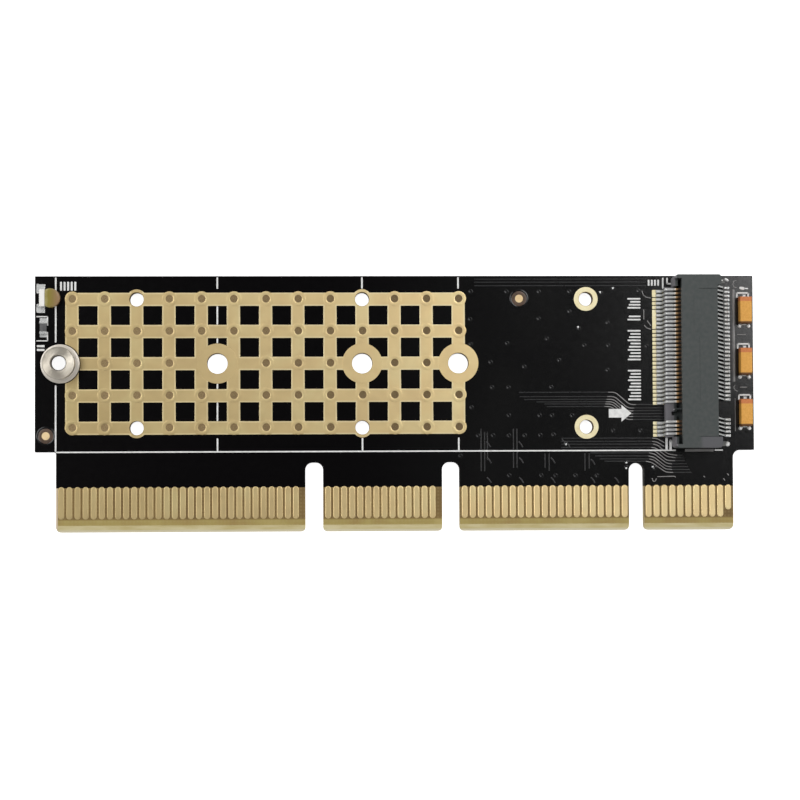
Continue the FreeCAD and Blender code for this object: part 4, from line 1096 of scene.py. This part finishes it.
# %% [markdown]
# ## Plated hole walls
# The holes for the drive's screw and for a heatsink are plated through. Each liner is
# a thin tube, just inside the wall that the board's hole has.

# %% Hole liners
LINER = 0.03
SCREW_HOLE, SINK_HOLE = 1.299, 0.899


def liner(radius):
    inner = radius - LINER
    return turned([(radius, 0.0), (radius, COPPER), (inner, COPPER), (inner, 0.0), (radius, 0.0)])


parts = [moved(liner(SCREW_HOLE), x, LINE) for x in SCREW_X]
parts += [moved(liner(SINK_HOLE), x, y) for x, y in sink_holes]
piece("hole_plating", merged(parts), wall_finish, sharp=40)

# %% [markdown]
# ## White print
# Component outlines, drive-length marks and the arrow are printed in white ink, thin
# enough to follow as very low pads. Words are left out: where a label stands on such
# a card, a few plain bars take its place.

# %% Print
INK = 0.02
BAR_SHARE = 0.55


def stroke(x0, y0, x1, y1, width=0.2):
    """A printed line between two points."""
    run = Vector((x1 - x0, y1 - y0))
    return moved(pad(run.length + width, width, INK, width * 0.4, 0.03, 0.008, 3),
                 (x0 + x1) / 2, (y0 + y1) / 2, FRONT, math.atan2(run.y, run.x))


def bars(x0, y0, x1, y1, count, upright=True):
    """Plain bars that fill a box where a label would stand."""
    made = []
    for step in range(count):
        middle = (step + 0.5) / count
        if upright:
            size_x, size_y = (x1 - x0) / count * BAR_SHARE, y1 - y0
            x, y = x0 + (x1 - x0) * middle, (y0 + y1) / 2
        else:
            size_x, size_y = x1 - x0, (y1 - y0) / count * BAR_SHARE
            x, y = (x0 + x1) / 2, y0 + (y1 - y0) * middle
        made.append(moved(pad(size_x, size_y, INK, 0.05, 0.02, 0.008, 2), x, y, FRONT))
    return made


LINE_LOW = -5.97
window = (LATTICE_LOW.y - 0.05, LATTICE_HIGH.y + 0.05)
print_parts = [stroke(-42.15, LINE_LOW, 34.87, LINE_LOW, 0.17), stroke(39.9, LINE_LOW, 40.8, LINE_LOW, 0.15)]
for x in (-42.23, *SCREW_X[::-1]):
    for y0, y1 in ((LINE_LOW + 0.2, window[0] - 0.1), (window[1] + 0.1, BOARD_HIGH.y - 0.25)):
        if x < LATTICE_LOW.x:
            y0, y1 = (y0, LINE - 2.75) if y1 < LINE else (LINE + 2.75, y1)
        print_parts.append(stroke(x, y0, x, y1))
middle_line = min(SCREW_X)
for row in range(ROWS - 1):
    y = LINE - 2 * PITCH + BAR / 2 + row * PITCH
    y0, y1 = y + 0.12, y + PITCH - BAR - 0.12
    if abs((y0 + y1) / 2 - LINE) < PITCH:
        y0, y1 = (y0, LINE - 2.62) if y1 < LINE else (LINE + 2.62, y1)
    print_parts.append(stroke(middle_line, y0, middle_line, y1))
for start, end in ((13.2, 11.7), (11.0, 10.2), (9.2, 5.2), (4.2, 0.2)):
    count = round((start - end) / 0.4)
    for step in range(count):
        y = end + (start - end) * (step + 0.5) / count
        inset = 0.1 + 0.35 * ((step * 7) % 3) / 2
        print_parts.append(stroke(29.0 + inset, y, 30.55, y, 0.2))
print_parts += bars(-41.8, 14.1, -39.6, 15.2, 5) + bars(31.5, 14.65, 33.1, 15.4, 4)
print_parts += bars(-44.55, 6.5, -43.6, 7.45, 2, False)
MARKS = ((33.48, 14.35, 33.48, 15.55), (34.02, 14.9, 34.02, 15.55), (34.02, 14.9, 34.6, 14.9),
         (33.8, -5.8, 33.8, -4.5, 0.3), (34.3, -5.8, 34.3, -4.8, 0.3), (34.3, -4.8, 34.7, -5.0),
         (-44.5, 14.8, -43.6, 14.8), (-44.45, 13.9, -44.45, 14.8, 0.3),
         (-44.45, 11.5, -44.45, 12.3, 0.3), (-44.45, 11.45, -43.65, 11.45))
print_parts += [stroke(*mark) for mark in MARKS]
box_x, box_y = (-44.55, -43.24), (7.87, 10.87)
for x0, y0, x1, y1 in ((box_x[0], box_y[0], box_x[1], box_y[0]), (box_x[0], box_y[1], box_x[1], box_y[1]),
                       (box_x[1], box_y[0], box_x[1], 8.9), (box_x[1], 9.8, box_x[1], box_y[1])):
    print_parts.append(stroke(x0, y0, x1, y1, 0.14))
for word in CAPACITORS:
    high = corners(f"capacitor_{word}_body")[1]
    slip = {"upper": 0.1, "middle": 0.16, "lower": 0.26}[word]
    left, right, end = high.x - 1.75 + slip, high.x - 0.32 + slip, high.y + 0.52
    print_parts += [stroke(left, end, right, end, 0.2), stroke(left, end - 0.5, left, end, 0.2),
                    stroke(right, end - 0.5, right, end, 0.2)]
print_parts += [stroke(43.3, 14.35, 43.62, 14.3, 0.34), stroke(43.9, 14.3, 44.15, 14.28, 0.16)]
piece("white_print", merged(print_parts), ink_finish)

ARROW_Y = -1.32
SHAFT, BARB = 0.54, 1.05
TAIL, NECK, TIP = 26.57, 28.16, 29.4
arrow = [(TAIL, ARROW_Y - SHAFT), (NECK, ARROW_Y - SHAFT), (NECK, ARROW_Y - BARB), (TIP, ARROW_Y),
         (NECK, ARROW_Y + BARB), (NECK, ARROW_Y + SHAFT), (TAIL, ARROW_Y + SHAFT)]
rings = [[(x, y, level) for x, y in arrow] for level in (FRONT, FRONT + INK)]
piece("printed_arrow", stack(rings), ink_finish)
print("print:", len(print_parts), "strokes")

# %% [markdown]
# ## Traces and small vias
# Under the mask the copper traces show as faint ridges, some painted pale as a painted highlight.
# Each is a polyline; a tree turns it into a curve, rounds its corners and sweeps a low
# flat profile along it. The two wide strips are the edges of copper planes.

# %% Traces
trace_tree, asked = new_tree("masked_traces", Wide="size", Flat="size", Bend="size", Finish="material")
carrier = put(trace_tree, "NodeGroupInput").outputs["Geometry"]
curve = put(trace_tree, "GeometryNodeMeshToCurve", {0: carrier})
bends = put(trace_tree, "GeometryNodeFilletCurve", {"Curve": curve.outputs[0], "Radius": asked["Bend"],
                                                    "Count": 5, "Limit Radius": True}, mode="POLY")
level = put(trace_tree, "GeometryNodeSetCurveNormal", {"Curve": bends.outputs[0]}, mode="Z_UP")
round_line = put(trace_tree, "GeometryNodeCurvePrimitiveCircle", {"Resolution": 10, "Radius": asked["Wide"]})
flat = put(trace_tree, "ShaderNodeCombineXYZ", {0: 1.0, 1: asked["Flat"], 2: 1.0})
profile = put(trace_tree, "GeometryNodeTransform",
              {"Geometry": round_line.outputs[0], "Scale": flat.outputs[0]})
swept = put(trace_tree, "GeometryNodeCurveToMesh",
            {"Curve": level.outputs[0], "Profile Curve": profile.outputs[0], "Fill Caps": True})
done = put(trace_tree, "GeometryNodeSetMaterial", {"Geometry": swept.outputs[0], "Material": asked["Finish"]})
put(trace_tree, "NodeGroupOutput", {0: done.outputs[0]})


def traces(name, routes, width, flat, bend, level, material=trace_finish):
    points, edges = [], []
    for route in routes:
        for step, (x, y) in enumerate(route):
            if step:
                edges.append((len(points) - 1, len(points)))
            points.append(Vector((x, y, level)) * MM)
    mesh = bpy.data.meshes.new("routes")
    mesh.from_pydata(points, edges, [])
    values = {"Wide": width / 2 * MM, "Flat": flat, "Bend": bend * MM, "Finish": material}
    made = grow(trace_tree, values, mesh)
    made.name = name
    made.shade_smooth()
    print(len(routes), "traces:", end=" ")
    keep(name, made)


BUNDLE_LEFT = (1.31, 0.77, 0.42, 0.11, -0.16, -0.48)
BUNDLE_RIGHT = (-0.24, -0.68, -1.03, -1.4, -1.74, -2.11)
bundle, ridges = [], []
for step, (y0, y1) in enumerate(zip(BUNDLE_LEFT, BUNDLE_RIGHT)):
    left, bend = (15.3, 15.4, 16.0, 17.5, 18.5, 18.8)[step], 26.9 - step * 0.1
    drop = (y0 - y1) * 1.15
    bundle += [[(left, y0), (bend - 0.2, y0)], [(bend + drop + 1.2, y1), (COMB, y1)]]
    ridges.append([(bend - 0.4, y0), (bend + 0.5, y0), (bend + 0.5 + drop, y1), (bend + drop + 1.3, y1)])
ridges += [[(31.19, -7.34), (31.88, -7.47), (33.69, -8.72), (34.6, -8.74)],
           [(31.6, -7.05), (32.2, -7.2), (33.6, -8.3), (34.45, -8.38)],
           [(31.5, -6.68), (32.2, -6.82), (33.7, -7.98), (34.39, -8.04)],
           [(31.6, -6.3), (32.25, -6.42), (33.8, -7.6), (34.45, -7.67)],
           [(31.9, -5.95), (32.4, -6.1), (33.8, -7.23), (34.83, -7.29)],
           [(31.9, -5.6), (32.45, -5.7), (33.8, -6.75), (34.9, -6.9)],
           [(32.1, -5.2), (32.6, -5.28), (33.9, -6.4), (35.09, -6.61)],
           [(32.0, -4.85), (32.55, -4.92), (33.5, -5.5)],
           [(32.0, -4.45), (32.6, -4.5), (33.5, -5.0)]]
for step, route in enumerate(ridges[6:]):
    bundle.append([(26.0 - 0.6 * step if step < 4 else 20.6, route[0][1] + 0.02), (route[0][0], route[0][1])])
    bundle.append([route[-1], (36.9 - 0.2 * step, route[-1][1])])
straight = []
for x, high, low in ((10.56, -3.2, -8.5), (11.0, -3.6, -8.5), (11.35, -3.6, -7.1), (14.6, -3.2, -8.1),
                     (15.04, -3.2, -8.1), (18.54, -6.3, -8.1), (19.06, -6.3, -8.5), (23.54, -6.3, -8.5),
                     (24.07, -6.3, -8.2)):
    straight.append([(x, high), (x, low)])
for y in (15.48, 15.1, 14.66):
    straight.append([(9.8, y), (31.4, y)])
stubs = [(11.44, -5.14), (15.48, -5.16), (21.36, -5.18), (20.9, -4.9), (11.52, -7.15), (15.55, -7.17),
         (19.5, -7.18), (24.51, -7.38), (11.5, -9.6), (15.54, -9.62), (19.49, -9.63), (24.49, -9.65),
         (27.48, -9.67)]
short = [[(x - 0.25, y + 0.33), (x, y + 0.1), (x + 0.28, y - 0.35)] for x, y in stubs]
traces("trace_bundles", bundle, 0.14, 0.2, 1.2, FRONT)
traces("trace_ridges", ridges, 0.12, 0.3, 1.2, FRONT, ridge_highlight_finish)
traces("straight_traces", straight, 0.14, 0.2, 0.1, FRONT)
traces("short_stubs", short, 0.18, 0.3, 0.1, FRONT)
planes = [[(42.35, 2.6), (42.35, 14.2)], [(36.1, LINE_LOW), (39.7, LINE_LOW)]]
traces("edge_planes", planes, 0.34, 0.08, 0.1, FRONT, ridge_highlight_finish)
loops = [[(30.85, 14.03), (31.03, 13.45), (31.42, 13.2), (31.95, 13.11)],
         [(31.07, 11.67), (31.07, 10.41)], [(31.1, 9.7), (31.39, 9.36), (31.95, 9.17)],
         [(31.48, 10.27), (31.95, 9.62)], [(42.47, 0.5), (42.47, -3.6)],
         [(31.93, -9.43), (32.05, -9.83), (32.32, -9.87), (32.5, -9.47)],
         [(32.58, -9.27), (34.74, -9.22), (34.9, -9.34)], [(38.4, -9.2), (38.6, -9.35)],
         [(41.35, -8.92), (41.6, -9.12)], [(40.9, -9.5), (41.1, -9.78)], [(32.0, -8.02), (32.22, -8.2)],
         [(42.75, 15.3), (42.4, 15.2), (42.3, 14.8), (42.5, 14.45), (42.8, 14.4)],
         [(42.8, 8.5), (43.9, 8.5)], [(42.5, 2.2), (42.3, 1.9), (42.5, 1.5), (42.8, 1.4)],
         [(43.1, 1.9), (44.0, 1.9)]]
traces("loose_traces", loops, 0.11, 0.3, 0.2, FRONT, ridge_highlight_finish)

# %% [markdown]
# Small vias are tented: mask covers them, and only a low dimpled bump is left. Their
# places are a plain list, and the same bump stands on each. A few spots carry a tiny
# bump of bright solder, set there to make a glint: a painted highlight.

# %% Small vias
dots = [(9.35, 13.95), (13.83, 13.91), (17.88, 13.91), (21.72, 13.91), (25.72, 13.76), (27.22, 14.32),
        (30.4, 14.02), (9.25, 10.48), (17.86, 10.52), (21.7, 11.43), (22.87, 9.31), (26.49, 10.01),
        (18.9, 8.0), (13.88, 7.45), (9.32, 7.37), (23.56, 7.17), (26.55, 7.16), (20.38, 5.33), (11.8, 5.09),
        (16.01, 4.51), (26.44, 4.09), (31.4, 7.07), (11.97, 1.95), (14.03, 1.94), (19.39, 1.96),
        (9.4, -0.55), (14.04, -1.56), (17.89, -1.57), (19.45, -1.58), (21.96, -1.59), (10.19, -4.09),
        (12.06, -4.06), (14.04, -4.07), (16.01, -4.07), (17.98, -4.03), (19.63, -3.98), (27.09, -3.5),
        (30.52, -3.51), (7.98, -6.58), (14.05, -9.05), (18.08, -9.07), (19.84, -9.07), (22.33, -9.08),
        (25.02, -9.09), (28.73, -8.09), (28.73, -7.45), (32.25, -8.16)]
bump = turned([(0.27, 0.0), (0.25, 0.012), (0.21, 0.02), (0.16, 0.016), (0.09, 0.004), (0.01, 0.001)], 18)
parts = [moved(bump, x, y, FRONT) for x, y in dots]
piece("tented_vias", merged(parts), dimple_finish, sharp=SMOOTH)
# A bright solder bump at each glint, put there for a painted highlight.
glint = turned([(0.13, 0.0), (0.11, 0.02), (0.06, 0.034), (0.005, 0.038)], 12)
glints = ((22.79, 9.48), (27.2, 14.36), (25.6, 13.86), (21.17, -5.18), (32.03, -8.03), (28.75, -7.5),
          (28.7, -8.2))
parts = [moved(glint, x, y, FRONT) for x, y in glints]
piece("tinned_specks", merged(parts), solder_finish, sharp=SMOOTH)

# %% [markdown]
# The two alignment marks lie in openings of the mask. Each has a dark ring of bare
# laminate round its dot, and the mask's edge stands up as a lip round the opening.

# %% Openings round the marks
DOT = 0.5
low, high = corners("alignment_marks")
mark_places = ((high.x - DOT, high.y - DOT), (low.x + DOT, low.y + DOT))
floor_ring = turned([(0.93, 0.0), (0.91, 0.006), (0.53, 0.006), (0.5, 0.0)], 40)
lip_ring = turned([(1.17, 0.0), (1.1, 0.022), (1.02, 0.026), (0.94, 0.0)], 40)
for name, part, material in (("mark_windows", floor_ring, window_finish),
                             ("mark_lips", lip_ring, dimple_finish)):
    parts = [moved(part, x, y, FRONT) for x, y in mark_places]
    piece(name, merged(parts), material, sharp=SMOOTH)

# %% [markdown]
# ## Camera and studio
# The camera looks almost straight down, from thirty centimetres. The floor is pale and
# plain. Soft light comes from two boxes, right and left, and from the air at the sides,
# while the air straight above the glossy mask stays dark.

# %% Camera
camera = bpy.data.cameras.new("camera")
camera.sensor_width = 36.0
camera.lens = 108.27
camera.clip_start, camera.clip_end = 0.01, 10.0
eye = placed("camera", camera)
axes = Matrix(((0.99922367, 0.00277875, -0.03929798), (-0.00424825, 0.99929285, -0.03735978),
               (0.03916638, 0.03749773, 0.99852888)))
EYE = Vector((-11.317, -10.788, 300.823))
eye.matrix_world = Matrix.Translation(EYE * MM) @ axes.to_4x4()
bpy.context.scene.camera = eye
print("camera", round(EYE.z), "mm above the card's back")

# %% Floor
floor_finish, tree, shader = finish("pale_floor", Base_Color=(0.8, 0.8, 0.8, 1.0), Roughness=0.7)
seen = put(tree, "ShaderNodeLightPath")
glow = put(tree, "ShaderNodeEmission", {"Color": (1, 1, 1, 1), "Strength": 0.92})
lit = put(tree, "ShaderNodeAddShader", {0: shader.outputs[0], 1: glow.outputs[0]})
shown = maths(tree, "MAXIMUM", seen.outputs["Is Camera Ray"], seen.outputs["Is Transmission Ray"])
choose = put(tree, "ShaderNodeMixShader", {0: shown, 1: shader.outputs[0], 2: lit.outputs[0]})
tree.links.new(choose.outputs[0], tree.nodes["Material Output"].inputs[0])
HALF_FLOOR, FLOOR_DROP = 3000.0, 0.04
ground = [(x * HALF_FLOOR, y * HALF_FLOOR, -FLOOR_DROP) for x, y in ((-1, -1), (1, -1), (1, 1), (-1, 1))]
floor = placed("floor", mesh_of("floor", ground, [(0, 1, 2, 3)], floor_finish))
print("floor", FLOOR_DROP, "mm below the card")

# %% Light
world = bpy.data.worlds.new("studio")
bpy.context.scene.world = world
world.use_nodes = True
tree = world.node_tree
tree.nodes.clear()
way = put(tree, "ShaderNodeTexCoord").outputs["Generated"]
upward = split(tree, way)[2]
sides = step_down(tree, upward, 0.6, 0.9)
level = put(tree, "ShaderNodeMapRange", {"Value": sides, "To Min": 0.03, "To Max": 0.78}).outputs[0]
rays = put(tree, "ShaderNodeLightPath")
open_air = maths(tree, "MAXIMUM", rays.outputs["Is Camera Ray"], rays.outputs["Is Transmission Ray"])
strength = maths(tree, "MAXIMUM", level, open_air)
air = put(tree, "ShaderNodeBackground", {"Color": (1, 1, 1, 1), "Strength": strength})
put(tree, "ShaderNodeOutputWorld", {0: air.outputs[0]})


def softbox(name, x, y, z, wide, deep, brightness):
    """A level rectangle of light; its power follows from how bright its face should be."""
    light = bpy.data.lights.new(name, "AREA")
    light.shape = "RECTANGLE"
    light.size, light.size_y = wide, deep
    light.energy = brightness * math.pi * wide * deep
    placed(name, light).location = (x, y, z)


softbox("right_box", 0.355, 0.272, 0.72, 0.37, 0.46, 4.6)
softbox("left_box", -0.415, 0.2, 0.72, 0.37, 0.56, 4.0)
bpy.context.scene.view_settings.view_transform = "Standard"
print("lights:", len(bpy.data.lights))
